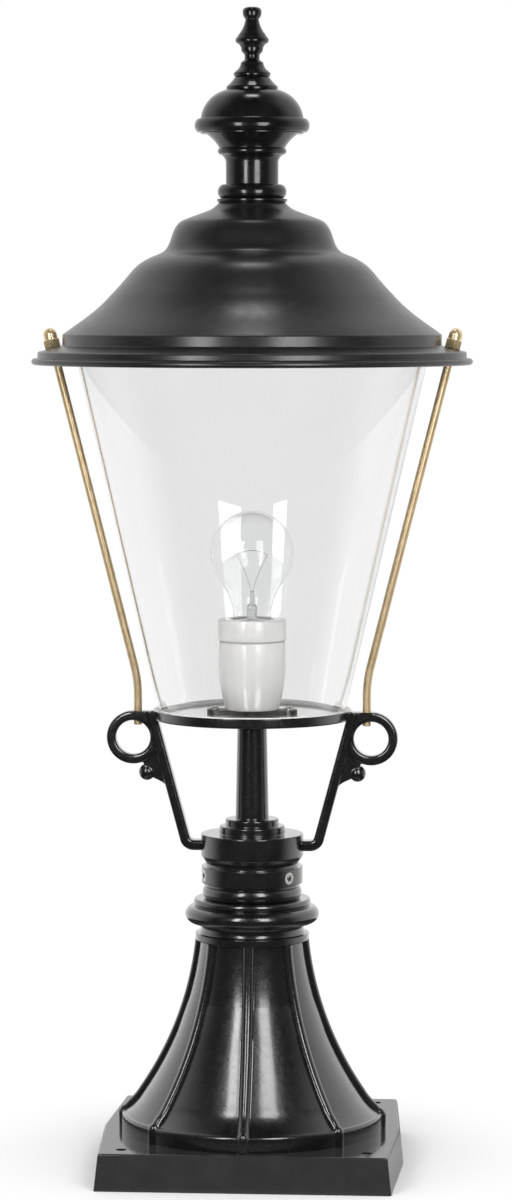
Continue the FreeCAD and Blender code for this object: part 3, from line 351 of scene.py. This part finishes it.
cast_black = finish("cast_black", (0.003, 0.003, 0.0032), (0.007, 0.0068, 0.0068), (0.20, 0.30), 90,
                    bump=0.07, bump_grain=800, wave=0.16, wave_grain=130, Coat_Weight=1.0, Coat_Roughness=0.14)
# The plate is a lighter copy of the cast black: painted sheen on its faces.
plate_black_painted_sheen = finish("plate_black_painted_sheen", (0.024, 0.024, 0.0245), (0.030, 0.030, 0.0305), (0.07, 0.12), 90,
                     wave=0.03, wave_grain=120)
# A bright mirror metal for the tray floor in place of its black paint: painted reflection of the light the floor
# catches at a grazing angle.
tray_painted_reflection = finish("tray_painted_reflection", (0.76, 0.76, 0.76), (0.84, 0.84, 0.84), (0.08, 0.14), 90, Metallic=1.0)
turned_black = finish("turned_black", (0.003, 0.003, 0.003), (0.0065, 0.0062, 0.006), (0.13, 0.22), 70,
                      bump=0.008, bump_grain=1500, wave=0.03, wave_grain=90)
spun_black = finish("spun_black", (0.006, 0.0058, 0.0056), (0.011, 0.0105, 0.010), (0.27, 0.33), 55,
                    bump=0.006, bump_grain=2200, wave=0.03, wave_grain=40)
drawn_brass = finish("drawn_brass", (0.52, 0.39, 0.22), (0.68, 0.53, 0.33), (0.34, 0.44), 140, Metallic=0.7)
polished_brass = finish("polished_brass", (0.70, 0.54, 0.30), (0.84, 0.69, 0.44), (0.24, 0.32), 180,
                        Metallic=0.75)
zinc = finish("zinc", (0.50, 0.50, 0.49), (0.68, 0.68, 0.66), (0.22, 0.38), 260, bump=0.01, bump_grain=1400,
              Metallic=1.0)
dark_steel = finish("dark_steel", (0.10, 0.095, 0.09), (0.19, 0.18, 0.17), (0.32, 0.5), 220, bump=0.012,
                    bump_grain=1200, Metallic=1.0)
porcelain = finish("porcelain", (0.79, 0.785, 0.765), (0.84, 0.835, 0.815), (0.10, 0.17), 60, bump=0.004,
                   bump_grain=500, wave=0.05, wave_grain=90, Coat_Weight=0.25)
shade_glass = finish("shade_glass", (0.935, 0.937, 0.936), (0.95, 0.952, 0.951), (0.0, 0.012), 25,
                     Transmission_Weight=1.0, IOR=1.47)
bulb_glass = finish("bulb_glass", (0.975, 0.98, 0.98), (0.99, 0.992, 0.992), (0.0, 0.01), 60,
                    Transmission_Weight=1.0, IOR=1.3)
# An opaque pale glass for the bulb's mount: painted light, where the neck inside would render in shade.
mount_glass_painted_light = finish("mount_glass_painted_light", (0.88, 0.88, 0.87), (0.93, 0.93, 0.92), (0.05, 0.12), 200)
# White silicone for the tray's gasket: a real seal, and painted reflection where it covers the lip's inner face
# so that the tray looks pale.
white_seal_painted_reflection = finish("white_seal_painted_reflection", (0.78, 0.78, 0.77), (0.84, 0.84, 0.83), (0.35, 0.5), 300, bump=0.02,
                  bump_grain=900)
rubber = finish("rubber", (0.035, 0.035, 0.034), (0.06, 0.06, 0.058), (0.6, 0.8), 300, bump=0.03,
                bump_grain=900)
vitrite = finish("vitrite", (0.012, 0.011, 0.012), (0.03, 0.028, 0.03), (0.15, 0.3), 300, bump=0.01,
                 bump_grain=900)


# ---------------------------------------------------------------- foot

RIBS = 8
RIB_RADIUS = 3.71
RIB_SINK = 0.3        # how deep the middle of a rib lies in the flare
TOE_SINK = 1.4        # and on the band under it
TOE = (33.5, 39.0)    # heights between which the one goes over into the other
FLARE_TOP = 151.0
PLATE_EDGE = 1.6      # rounding of the plate's upper edges
PLATE_HOLE = 80       # the holes' distance from the middle, both ways

foot_outside = [(87.3, 20.0), (87.3, 32.8), (84.9, 35.2, 0.70), (72.6, 48.2, -1.0), (34.7, 151.0, -6.9),
                (37.9, 151.0), (37.9, 155.5), (35.7, 155.5), (35.7, 162.6, -1.2), (39.2, 162.6),
                (39.2, 173.8, 5.5), (37.9, 173.8), (37.9, 178.8, 1.2), (25.0, 178.8), (25.0, 212.8)]
foot_inside = [(20.5, 212.8), (20.5, 162.6), (28.7, 151.0), (66.6, 42.2), (81.3, 26.8), (81.3, 20.0)]


def rib_height(across, sink):
    """How far the outside stands out at a distance from a rib's middle, with a small fillet at its root."""
    inside = RIB_RADIUS ** 2 - across ** 2
    if inside > 0.02:
        crown = math.sqrt(inside) - sink
    else:
        crown = 0.14 - sink - (abs(across) - RIB_RADIUS) * 2.5
    return 0.5 * (crown + math.sqrt(crown * crown + 0.10))


def ease(low, high, value):
    """Goes smoothly from 0 to 1 while value goes from low to high."""
    share = min(1.0, max(0.0, (value - low) / (high - low)))
    return share * share * (3 - 2 * share)


def foot_column():
    """The flared column, with its ribs raised from its skin and the columns of its mesh laid along them."""
    bm = bmesh.new()
    outside = thin(trace(foot_outside, soft=0.5), 2.2)
    steps = [i / 11 for i in range(-16, 17)]    # across a rib and its root, in rib radii
    panel = [i / 14 for i in range(1, 14)]      # from one rib's root to the next one's
    rings = []
    count = len(outside)
    for index, point in enumerate(outside):
        before = outside[max(0, index - 1)]
        after = outside[min(count - 1, index + 1)]
        along = (after - before).normalized()
        out = Vector((along.y, -along.x))
        ribbed = point.y < FLARE_TOP - 0.01 or (index and outside[index - 1].y < FLARE_TOP - 0.3)
        sink = TOE_SINK + (RIB_SINK - TOE_SINK) * ease(*TOE, point.y)
        flat = rib_height(3 * RIB_RADIUS, sink)
        spread = RIB_RADIUS / point.x
        gap = math.tau / RIBS - 2 * steps[-1] * spread
        ring = []
        for rib in range(RIBS):
            middle = math.tau * rib / RIBS
            places = [(middle + step * spread, step * RIB_RADIUS) for step in steps]
            places += [(middle + steps[-1] * spread + gap * share, 3 * RIB_RADIUS) for share in panel]
            for azimuth, across in places:
                rise = rib_height(across, sink) - flat if ribbed else 0.0
                ring.append(bm.verts.new(around(point + out * max(0.0, rise), azimuth)))
        rings.append(ring)
    turns = len(rings[0])
    for point in trace(foot_inside):
        rings.append([bm.verts.new(around(point, math.tau * index / turns)) for index in range(turns)])
    skin(bm, rings, closed=True)
    return as_object("foot_column", bm, crease=48)


def foot_plate():
    """The square plate: drafted sides that meet on a parting line, a hollow underside and four holes."""
    def plan(end, middle, height):
        """Six corners of the plate at a height; two sides bow out to their middles."""
        corners = ((-end, -end), (end, -end), (middle, 0), (end, end), (-end, end), (-middle, 0))
        return [Vector((x, y, height)) for x, y in corners]

    def block(bm, rows):
        """A closed solid between plans."""
        rings = [[bm.verts.new(corner * MM) for corner in row] for row in rows]
        skin(bm, rings)
        bm.faces.new(list(reversed(rings[0])))
        bm.faces.new(rings[-1])
        return rings

    bm = bmesh.new()
    rings = block(bm, [plan(96.6, 101.5, 0), plan(94.0, 98.9, 24.2)])
    bm.normal_update()
    top = set(rings[-1])
    sides = [edge for edge in bm.edges if edge.verts[0] in top or edge.verts[1] in top]
    bmesh.ops.bevel(bm, geom=sides, offset=PLATE_EDGE * MM, segments=6, profile=0.5, affect="EDGES")
    obj = as_object("foot_plate", bm, crease=30)
    tool = bmesh.new()
    block(tool, [plan(87.6, 92.5, -1), plan(85.6, 90.5, 18.2)])
    cut(obj, tool, crease=30)
    tool = bmesh.new()
    rod_tool(tool, (0, 0, 10), (0, 0, 30), 84.3, steps=128)
    for x in (-PLATE_HOLE, PLATE_HOLE):
        for y in (-PLATE_HOLE, PLATE_HOLE):
            rod_tool(tool, (x, y, 10), (x, y, 30), 3.5, steps=48)
    cut(obj, tool, crease=30)
    shade_evenly(obj)
    return obj


place(foot_column(), "foot", cast_black, "gloss_black", "pedestal_foot")
place(foot_plate(), "foot", plate_black_painted_sheen, "gloss_black", "pedestal_foot")


# ---------------------------------------------------------------- bracket

ARM_TILT = math.radians(15.0)
ARM_FOOT = 43.54              # where the slope of an arm meets its level foot
ARM_LEVEL = 35.2 + SEAT
ARM_BEND = 6.0
LOOP = Vector((79.3, 107.1 + SEAT))
LOOP_RADIUS = 14.55
LUG_TOP = 124.8 + SEAT
BALL = (70.2, 83.7 + SEAT)
BALL_RADIUS = 5.6
WEB_FOOT = 69.7 + SEAT        # where the web under a ball runs out on the arm
TRAY_FLOOR = 125.2            # above the seat
SCREW_LEVEL = 15.9
SCREW_AZIMUTHS = (81, 201, 321)

turning = [(25.5, 0.0), (31.5, 0.0), (31.5, 8.1, 1.6), (30.9, 8.1), (30.9, 10.3), (33.8, 10.3), (33.8, 21.5),
           (30.9, 21.5), (30.9, 23.7), (34.2, 28.5), (34.2, 42.2), (33.2, 43.2, 0.29), (21.9, 43.2),
           (21.9, 47.3), (20.7, 48.5, 0.35), (17.8, 48.5), (17.8, 52.0), (16.6, 53.2, 0.35), (11.1, 53.2),
           (9.7, 119.9), (64.5, 119.9), (65.9, 121.3, 0.41), (65.9, 126.4), (64.1, 126.4), (64.1, TRAY_FLOOR),
           (5.6, TRAY_FLOOR), (5.6, 36.0), (25.5, 36.0)]


def bracket_turning():
    """The round middle of the bracket: cup, stem and tray, with the holes of the set screws."""
    bm = bmesh.new()
    spin(bm, trace(turning, soft=0.6, up=SEAT), 192, closed=True)
    obj = as_object("bracket_turning", bm)
    tool = bmesh.new()
    for azimuth in SCREW_AZIMUTHS:
        turn = math.radians(azimuth)
        out = Vector((math.cos(turn), math.sin(turn), 0))
        level = Vector((0, 0, SCREW_LEVEL + SEAT))
        rod_tool(tool, level + out * 24, level + out * 40, 4.1)
    cut(obj, tool)
    shade_evenly(obj)
    return obj


def arm_at(height):
    """How far out the middle of an arm is at a height."""
    return ARM_FOOT + (height - ARM_LEVEL) * math.tan(ARM_TILT)


def bracket_arms():
    """Both arms with their loops, webs and balls, run together as one casting."""
    bm = bmesh.new()
    turn = math.pi / 2 - ARM_TILT
    bend_start = ARM_FOOT - ARM_BEND * math.tan(turn / 2)
    path = [Vector((29.0, ARM_LEVEL)), Vector((34.0, ARM_LEVEL))]
    for index in range(13):
        angle = turn * index / 12
        path.append(Vector((bend_start + ARM_BEND * math.sin(angle),
                            ARM_LEVEL + ARM_BEND * (1 - math.cos(angle)))))
    path.append(Vector((arm_at(LUG_TOP), LUG_TOP)))
    sweep(bm, path, rounded(6.8, 12.0, 2.0))
    hoop = [LOOP + spoke for spoke in disc(LOOP_RADIUS, 96)]
    sweep(bm, hoop, rounded(6.3, 10.0, 1.8), closed=True)
    web = [Vector((arm_at(WEB_FOOT), WEB_FOOT))]
    web += arc(web[0], (BALL[0] - 5.6, BALL[1] - 4.2), -1.4, 1.0)
    web.append(Vector(BALL))
    for angle in [math.radians(248 - 6 * i) for i in range(27)]:
        web.append(LOOP + Vector((math.cos(angle), math.sin(angle))) * LOOP_RADIUS)
    web.append(Vector((LOOP.x, LUG_TOP)))
    web.append(Vector((arm_at(LUG_TOP), LUG_TOP)))
    slab(bm, web, 8.0)
    lug = [(66.5, LUG_TOP - 7.0), (80.6, LUG_TOP - 4.6), (80.6, LUG_TOP), (66.5, LUG_TOP)]
    slab(bm, lug, 10.0)
    ball(bm, BALL, BALL_RADIUS)
    bmesh.ops.recalc_face_normals(bm, faces=bm.faces)
    mirrored(bm)
    obj = as_object("bracket_arms", bm)
    melt = obj.modifiers.new("melt", "REMESH")
    melt.mode = "VOXEL"
    melt.voxel_size = 0.5 * MM
    calm = obj.modifiers.new("calm", "SMOOTH")
    calm.factor = 0.5
    calm.iterations = 5
    settle(obj)
    obj.data.shade_smooth()
    return obj


casting = place(bracket_turning(), "lantern_head", cast_black, "gloss_black", "lantern_bracket")
casting.data.materials.append(tray_painted_reflection)
# The tray floor's faces take the bright mirror metal: painted reflection.
for face in casting.data.polygons:
    if face.normal.z > 0.9 and abs(face.center.z - (TRAY_FLOOR + SEAT) * MM) < 0.2 * MM:
        face.material_index = 1
place(bracket_arms(), "lantern_head", cast_black, "gloss_black", "lantern_bracket")


# ---------------------------------------------------------------- shade, cap and finial

def turned(name, material, slot, corners, node, up=0.0, soft=0.45, turns=160, closed=False, fine=None):
    """A turned piece of the head, from its outline, in place of its node."""
    bm = bmesh.new()
    line = trace(corners, soft=soft, up=up)
    if fine:
        line = thin(line, fine)
    spin(bm, line, turns, closed)
    return place(as_object(name, bm), "lantern_head", material, slot, node)


turned("shade", shade_glass, "clear_shade",
       [(60.32, 305.0), (62.4, 305.0), (119.56, 552.0), (117.48, 552.0)],
       "glass_shade", soft=1.0, turns=240, closed=True, fine=12)

# The gasket rises over the tray lip's inner face: a real seal, and painted reflection on the lip.
turned("tray_gasket", white_seal_painted_reflection, "seal",
       [(58.6, 304.05), (64.0, 304.05), (64.0, 305.5), (63.0, 305.7), (62.7, 304.9), (60.1, 304.9),
        (60.2, 305.7), (58.9, 305.5)],
       "tray_seal", soft=0.2, turns=240, closed=True)

CAP_SEAT = 106.2              # the finial's seat, above the rim
CAP_BORE = 4.3
SHEET = 1.5                   # thickness of the spun sheet
HOOP_POINTS = 14              # points at the end of the rim that the inside follows

rim = trace([(143.8, 0), (143.8, 4.2, 1.9), (141.6, 4.2), (141.6, 7.4), (140.2, 8.8, 0.41), (125.2, 12.6),
             (125.2, 18.9), (124.3, 20.4, 0.3)], soft=0.9, up=CAP)
bell = [(124.3, 20.4), (120.9, 22.9), (115.3, 26.9), (109.8, 30.8), (104.6, 34.8), (100.1, 38.7),
        (96.1, 42.6), (92.5, 46.6), (88.7, 50.5), (85.2, 54.5), (81.9, 58.4), (78.8, 62.3), (74.5, 66.3),
        (68.0, 70.2), (57.8, 74.2), (55.2, 78.1), (53.8, 82.1), (52.6, 86.0), (51.0, 89.9), (47.6, 94.3),
        (36.0, 98.6), (26.2, 102.2), (22.0, CAP_SEAT)]
bell = ironed([Vector((radius, height + CAP)) for radius, height in bell], 2.4)
sheet = rim + bell[1:]
sheet += [Vector((CAP_BORE, CAP_SEAT + CAP)), Vector((CAP_BORE, CAP_SEAT - SHEET + CAP))]
sheet += [point - Vector((SHEET, SHEET)) for point in reversed(rim[-HOOP_POINTS:] + bell[1:])]
sheet += [Vector((140.1, 5.9 + CAP)), Vector((140.4, CAP))]
bm = bmesh.new()
spin(bm, sheet, 256, closed=True)
place(as_object("cap", bm), "lantern_head", spun_black, "satin_black", "lantern_cap")

urn = [(CAP_BORE, 0), (22.0, 0), (23.2, 1.35), (23.2, 2.7), (20.1, 2.7), (20.1, 12.1, 2.6), (17.3, 12.1),
       (17.3, 26.5), (21.2, 31.9, -1.0), (21.6, 31.9), (21.6, 36.1, 1.1), (30.2, 45.3, -0.7), (CAP_BORE, 45.3)]
dome = [(CAP_BORE, 0), (33.8, 0), (33.8, 1.0), (35.9, 1.0), (35.9, 9.8, 2.0), (33.9, 9.8), (17.4, 28.8, 4.0),
        (16.8, 28.8), (16.8, 31.0, 0.2), (11.2, 37.2, -0.3), (CAP_BORE, 37.2)]
spire = [(0, 0), (11.2, 0), (11.2, 3.4, 1.0), (9.2, 5.2), (7.6, 8.2, -0.2), (6.9, 9.8, 0.2), (4.9, 11.6, -0.2),
         (4.9, 14.3), (6.8, 16.4), (7.3, 19.0, 0.1), (8.8, 21.2, -0.1), (10.4, 22.2), (10.4, 25.4, 0.6),
         (8.8, 27.8, -0.1), (4.4, 37.7, -0.8), (6.2, 41.8, 0.5), (3.4, 45.4, 1.1), (0, 45.8, 0.1)]
turned("finial_urn_turned", turned_black, "gloss_black", urn, "finial_urn", up=URN, closed=True)
turned("finial_dome_turned", turned_black, "gloss_black", dome, "finial_dome", up=DOME, closed=True)
turned("finial_spire_turned", turned_black, "gloss_black", spire, "finial_spire", up=SPIRE, soft=0.6, turns=96)


# ---------------------------------------------------------------- tie rods and nuts

ROD_TILT = math.radians(14.2)
ROD_FOOT = Vector((76.3, 294.21))
ROD_BEND = 80.0
ROD_RADIUS = 2.7
ROD_POINT = 0.87              # the foot's end is this much of the rod's thickness
ROD_RISE = 8.6                # how far a rod stands up into its nut
NUT_SEAT = Vector((132.1, 544.59))
NUT_FLATS = 5.0               # half the width across the flats
NUT_HEXAGON = 5.6             # height of the hexagon
NUT_DOME = 4.5                # radius of the dome
NUT_DOME_FOOT = 8.9


def tie_rod(name, side):
    """A rod that stands upright at its foot, bends and slopes out to its nut; side is -1 or 1."""
    bm = bmesh.new()
    run = ROD_BEND * math.tan(ROD_TILT / 2)
    corner = NUT_SEAT.y - (NUT_SEAT.x - ROD_FOOT.x) / math.tan(ROD_TILT)
    path = [ROD_FOOT, ROD_FOOT + Vector((0, 0.35))]
    for index in range(17):
        angle = ROD_TILT * index / 16
        path.append(Vector((ROD_FOOT.x + ROD_BEND * (1 - math.cos(angle)),
                            corner - run + ROD_BEND * math.sin(angle))))
    path.append(NUT_SEAT + Vector((math.sin(ROD_TILT), math.cos(ROD_TILT))) * ROD_RISE)
    sweep(bm, thin(path, 14), disc(ROD_RADIUS, 28))
    for vert in bm.verts:
        if abs(vert.co.z - ROD_FOOT.y * MM) < 1e-6:
            vert.co.x = ROD_FOOT.x * MM + (vert.co.x - ROD_FOOT.x * MM) * ROD_POINT
            vert.co.y *= ROD_POINT
        vert.co.x *= side
    return as_object(name, bm)


place(tie_rod("rod_left", -1), "lantern_head", drawn_brass, "brass", "tie_rod_left")
place(tie_rod("rod_right", 1), "lantern_head", drawn_brass, "brass", "tie_rod_right")


def domed_nut(bm, side):
    """A hexagon nut with chamfered corners under a round dome."""
    rows = [(3.0, 0.0), (5.2, 0.0), (5.77, 0.4), (5.77, 5.2), (5.2, NUT_HEXAGON), (4.7, 5.75),
            (NUT_DOME, 6.0), (NUT_DOME, NUT_DOME_FOOT)]
    for angle in [math.pi / 2 * i / 12 for i in range(1, 13)]:
        rows.append((NUT_DOME * math.cos(angle), NUT_DOME_FOOT + NUT_DOME * math.sin(angle)))
    rings = []
    tilt = Matrix.Rotation(side * ROD_TILT, 3, "Y")
    base = Vector((side * (NUT_SEAT.x + 0.03), 0, NUT_SEAT.y + 0.1))
    for radius, height in rows:
        if radius < 1e-3:
            rings.append([bm.verts.new((base + tilt @ Vector((0, 0, height))) * MM)])
            continue
        ring = []
        for index in range(96):
            azimuth = math.tau * index / 96
            fold = (azimuth + math.pi / 6) % (math.pi / 3) - math.pi / 6
            reach = min(radius, NUT_FLATS / math.cos(fold)) if height <= NUT_HEXAGON else radius
            spot = Vector((reach * math.cos(azimuth), reach * math.sin(azimuth), height))
            ring.append(bm.verts.new((base + tilt @ spot) * MM))
        rings.append(ring)
    skin(bm, rings)
    bm.faces.new(list(reversed(rings[0])))


bm = bmesh.new()
domed_nut(bm, -1)
domed_nut(bm, 1)
place(as_object("domed_nuts", bm, crease=28), "lantern_head", polished_brass, "brass", "cap_nuts")


# ---------------------------------------------------------------- lampholder and bulb

HOLDER_HEIGHT = 44.6          # of its lower half
FILAMENT = 408.0              # height of the filament's ends
FILAMENT_REACH = 10.3         # how far out they are
FILAMENT_ARCH = 3.0
COIL = 0.25                   # radius of the filament's coil
COILS = 64
COIL_STEPS = 10               # points in a turn of the coil

body = [(4.9, 0), (17.5, 0), (22.3, 30.0, 1.4), (22.3, 43.4), (21.1, HOLDER_HEIGHT, 0.35),
        (14.7, HOLDER_HEIGHT), (14.7, 4.0), (4.9, 4.0)]
ring = [(20.4, 0), (20.4, 0.6), (21.7, 0.6), (22.7, 1.6, 0.3), (22.7, 13.8), (21.5, 15.0, 0.35), (14.9, 15.0),
        (13.9, 14.0), (14.9, 0)]
turned("holder_body_glazed", porcelain, "porcelain", body, "holder_body", up=HOLDER, soft=1.0, closed=True)
turned("holder_ring_glazed", porcelain, "porcelain", ring, "holder_ring", up=HOLDER + HOLDER_HEIGHT,
       soft=0.8, closed=True)

bulb = [(12.5, 358.8), (12.5, 369.8), (22.6, 392.3, -1.6), (27.5, 409.8, 1.2), (0, 437.3, 8.05)]
inner = [(0, 437.1), (27.3, 409.8, -8.0), (22.4, 392.3, -1.2), (12.3, 369.8, 1.6), (12.3, 358.8)]
turned("bulb_blown", bulb_glass, "bulb_glass", bulb + inner, "bulb_envelope", soft=0.3, turns=128, closed=True)

# The mount's disc fills the neck in opaque pale glass: painted light in place of the shade inside the neck.
mount = [(0, 359.4), (11.2, 359.4), (11.9, 360.2), (11.9, 364.2), (11.0, 365.0), (5.2, 365.5),
         (3.3, 367.6, -0.6), (3.3, 370.2), (3.9, 372.6), (3.1, 374.8), (1.4, 376.6, -0.4), (1.2, 383.4),
         (0, 384.2)]
turned("bulb_mount_pressed", mount_glass_painted_light, "bulb_glass", mount, "bulb_mount", soft=0.4, turns=64)


def hot_wire():
    """The coiled filament between the two leads."""
    bm = bmesh.new()
    curve = bpy.data.curves.new("coil", "CURVE")
    curve.dimensions = "3D"
    curve.bevel_depth = 0.07 * MM
    curve.bevel_resolution = 2
    count = COILS * COIL_STEPS
    spline = curve.splines.new("POLY")
    spline.points.add(count)
    for index in range(count + 1):
        side = 2 * index / count - 1
        turn = math.tau * index / COIL_STEPS
        height = FILAMENT + FILAMENT_ARCH * (1 - side ** 2) + COIL * math.sin(turn)
        spline.points[index].co = (FILAMENT_REACH * side * MM, COIL * math.cos(turn) * MM, height * MM, 1)
    obj = bpy.data.objects.new("coil", curve)
    bpy.context.scene.collection.objects.link(obj)
    graph = bpy.context.evaluated_depsgraph_get()
    bm.from_mesh(bpy.data.meshes.new_from_object(obj.evaluated_get(graph)))
    bpy.data.objects.remove(obj)
    return as_object("filament_coil", bm)


def lead_wires():
    """The two wires that stand up from the glass mount and spread to the filament."""
    bm = bmesh.new()
    path = [Vector((0.8, 382.0)), Vector((0.8, 384.8))]
    path += arc(path[-1], (10.2, FILAMENT), -0.8, 1.5)
    sweep(bm, path, disc(0.18, 12))
    mirrored(bm)
    return as_object("lead_wires_drawn", bm)


place(hot_wire(), "lantern_head", zinc, "dark_steel", "filament")
place(lead_wires(), "lantern_head", zinc, "dark_steel", "bulb_leads")


# ---------------------------------------------------------------- carried-over solids

carried_over = {
    "set_screws": zinc, "strap_screws": zinc, "stud_washer": zinc, "stud_nut": zinc, "finial_stud": zinc,
    "bulb_cap": zinc, "bulb_tip": zinc, "holder_strap": dark_steel, "cap_seal": rubber,
    "centre_contact": drawn_brass, "screw_shell": drawn_brass, "holder_nipple": drawn_brass,
    "bulb_insulator": vitrite,
}
for name, material in carried_over.items():
    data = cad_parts[name].data
    data.materials.clear()
    data.materials.append(material)


# ---------------------------------------------------------------- stage

AZIMUTH = math.radians(4.0)     # the view comes from a little right of the front
VIEW_TURN = Matrix.Rotation(AZIMUTH, 3, "Z")
EYE = Vector((0, -2.557, 0.5745))
LOOK_DOWN = 4.40                # degrees
LOOK_RIGHT = 0.001              # radians
LENS = 115.9
FILL = 0.75                     # light from all round
SHADE_FILL = 1.3                # the same for pieces behind glass, which holds much of it back
ROOM = 0.06                     # the dim studio in front, as gloss shows it; the backdrop behind is white
FLOOR_FADE = (0.10, 0.24)       # distances in metres between which the floor fades to white
BACKDROP = (-0.4, 0.3)          # how far round the reflected room goes from dim to white
OVERHEAD = (0.7, 1.0)           # and how far up it goes dim again


def combine(tree, operation, first, second):
    """A Math node's result; what goes in is a number or a socket."""
    node = tree.nodes.new("ShaderNodeMath")
    node.operation = operation
    for socket, value in zip(node.inputs, (first, second)):
        if isinstance(value, float):
            socket.default_value = value
        else:
            tree.links.new(value, socket)
    return node.outputs["Value"]


def stage_floor():
    """A pale floor that takes the shadow and fades to the white of the backdrop."""
    bm = bmesh.new()
    rings = [[bm.verts.new((0, 0, 0))]]
    for radius in (0.1, 0.2, 0.3, 0.4, 0.5, 0.6):
        rings.append([bm.verts.new((spot.x, spot.y, 0)) for spot in disc(radius, 64)])
    skin(bm, rings)
    obj = as_object("floor", bm)
    material = bpy.data.materials.new("floor")
    material.use_nodes = True
    tree = material.node_tree
    nodes = tree.nodes
    links = tree.links
    shader = nodes["Principled BSDF"]
    shader.inputs["Base Color"].default_value = (0.92, 0.92, 0.92, 1)
    shader.inputs["Roughness"].default_value = 0.7
    glow = nodes.new("ShaderNodeEmission")
    coords = nodes.new("ShaderNodeTexCoord")
    reach = nodes.new("ShaderNodeVectorMath")
    reach.operation = "LENGTH"
    links.new(coords.outputs["Object"], reach.inputs[0])
    far = map_range(tree, reach.outputs["Value"], *FLOOR_FADE, smooth=True)
    path = nodes.new("ShaderNodeLightPath")
    seen = combine(tree, "MAXIMUM", path.outputs["Is Camera Ray"], path.outputs["Is Transmission Ray"])
    seen = combine(tree, "MAXIMUM", seen, path.outputs["Is Glossy Ray"])
    links.new(map_range(tree, path.outputs["Is Glossy Ray"], 0.0, 1.0, 1.0, ROOM), glow.inputs["Strength"])
    mix = nodes.new("ShaderNodeMixShader")
    links.new(combine(tree, "MULTIPLY", seen, far), mix.inputs["Fac"])
    links.new(shader.outputs["BSDF"], mix.inputs[1])
    links.new(glow.outputs["Emission"], mix.inputs[2])
    links.new(mix.outputs["Shader"], nodes["Material Output"].inputs["Surface"])
    obj.data.materials.append(material)


def studio():
    """The world: white to the camera and through glass, a dim room with a white backdrop in gloss, else fill."""
    world = bpy.data.worlds.new("studio")
    bpy.context.scene.world = world
    world.use_nodes = True
    tree = world.node_tree
    nodes = tree.nodes
    links = tree.links
    sky = nodes["Background"]
    sky.inputs["Color"].default_value = (1, 1, 1, 1)
    coords = nodes.new("ShaderNodeTexCoord")
    split = nodes.new("ShaderNodeSeparateXYZ")
    links.new(coords.outputs["Generated"], split.inputs["Vector"])
    behind = map_range(tree, split.outputs["Y"], *BACKDROP, ROOM, 1.0, smooth=True)
    overhead = map_range(tree, split.outputs["Z"], *OVERHEAD, 1.0, ROOM, smooth=True)
    wall = combine(tree, "MULTIPLY", behind, overhead)

    path = nodes.new("ShaderNodeLightPath")
    thrown_back = combine(tree, "MINIMUM", path.outputs["Glossy Depth"], 1.0)
    straight = combine(tree, "SUBTRACT", 1.0, thrown_back)
    through = combine(tree, "MULTIPLY", path.outputs["Is Transmission Ray"], straight)
    from_piece = combine(tree, "MINIMUM", path.outputs["Diffuse Depth"], 1.0)
    gain = combine(tree, "ADD", combine(tree, "MULTIPLY", from_piece, SHADE_FILL - 1.0), 1.0)
    through = combine(tree, "MULTIPLY", through, gain)
    room = nodes.new("ShaderNodeMix")
    links.new(thrown_back, room.inputs["Factor"])
    room.inputs["A"].default_value = FILL
    links.new(wall, room.inputs["B"])
    seen = combine(tree, "MAXIMUM", path.outputs["Is Camera Ray"], through)
    links.new(combine(tree, "MAXIMUM", seen, room.outputs["Result"]), sky.inputs["Strength"])


def softbox(name, stand, aim, width, tall, power):
    """An area lamp of width by tall metres that stands at a point and is aimed at another."""
    light = bpy.data.lights.new(name, "AREA")
    light.shape = "RECTANGLE"
    light.size = width
    light.size_y = tall
    light.energy = power
    obj = bpy.data.objects.new(name, light)
    obj.location = VIEW_TURN @ Vector(stand)
    way = VIEW_TURN @ (Vector(aim) - Vector(stand))
    obj.rotation_euler = way.to_track_quat("-Z", "Y").to_euler()
    obj.visible_camera = False
    bpy.context.scene.collection.objects.link(obj)


def camera():
    """The photograph's viewpoint."""
    data = bpy.data.cameras.new("camera")
    data.sensor_fit = "VERTICAL"
    data.sensor_height = 36.0
    data.lens = LENS
    obj = bpy.data.objects.new("camera", data)
    obj.location = VIEW_TURN @ EYE
    obj.rotation_euler = (math.radians(90 - LOOK_DOWN), 0, AZIMUTH - LOOK_RIGHT)
    bpy.context.scene.collection.objects.link(obj)
    bpy.context.scene.camera = obj


bpy.context.scene.view_settings.view_transform = "Standard"
stage_floor()
studio()
softbox("strip_left", (-0.285, -0.55, 0.55), (0, 0, 0.30), 0.12, 0.45, 1.9)
softbox("strip_right", (0.22, -0.55, 0.55), (0, 0, 0.30), 0.20, 0.45, 2.3)
softbox("softbox_top", (0, 0.10, 1.7), (0, 0, 0.5), 0.25, 0.20, 1.4)
camera()
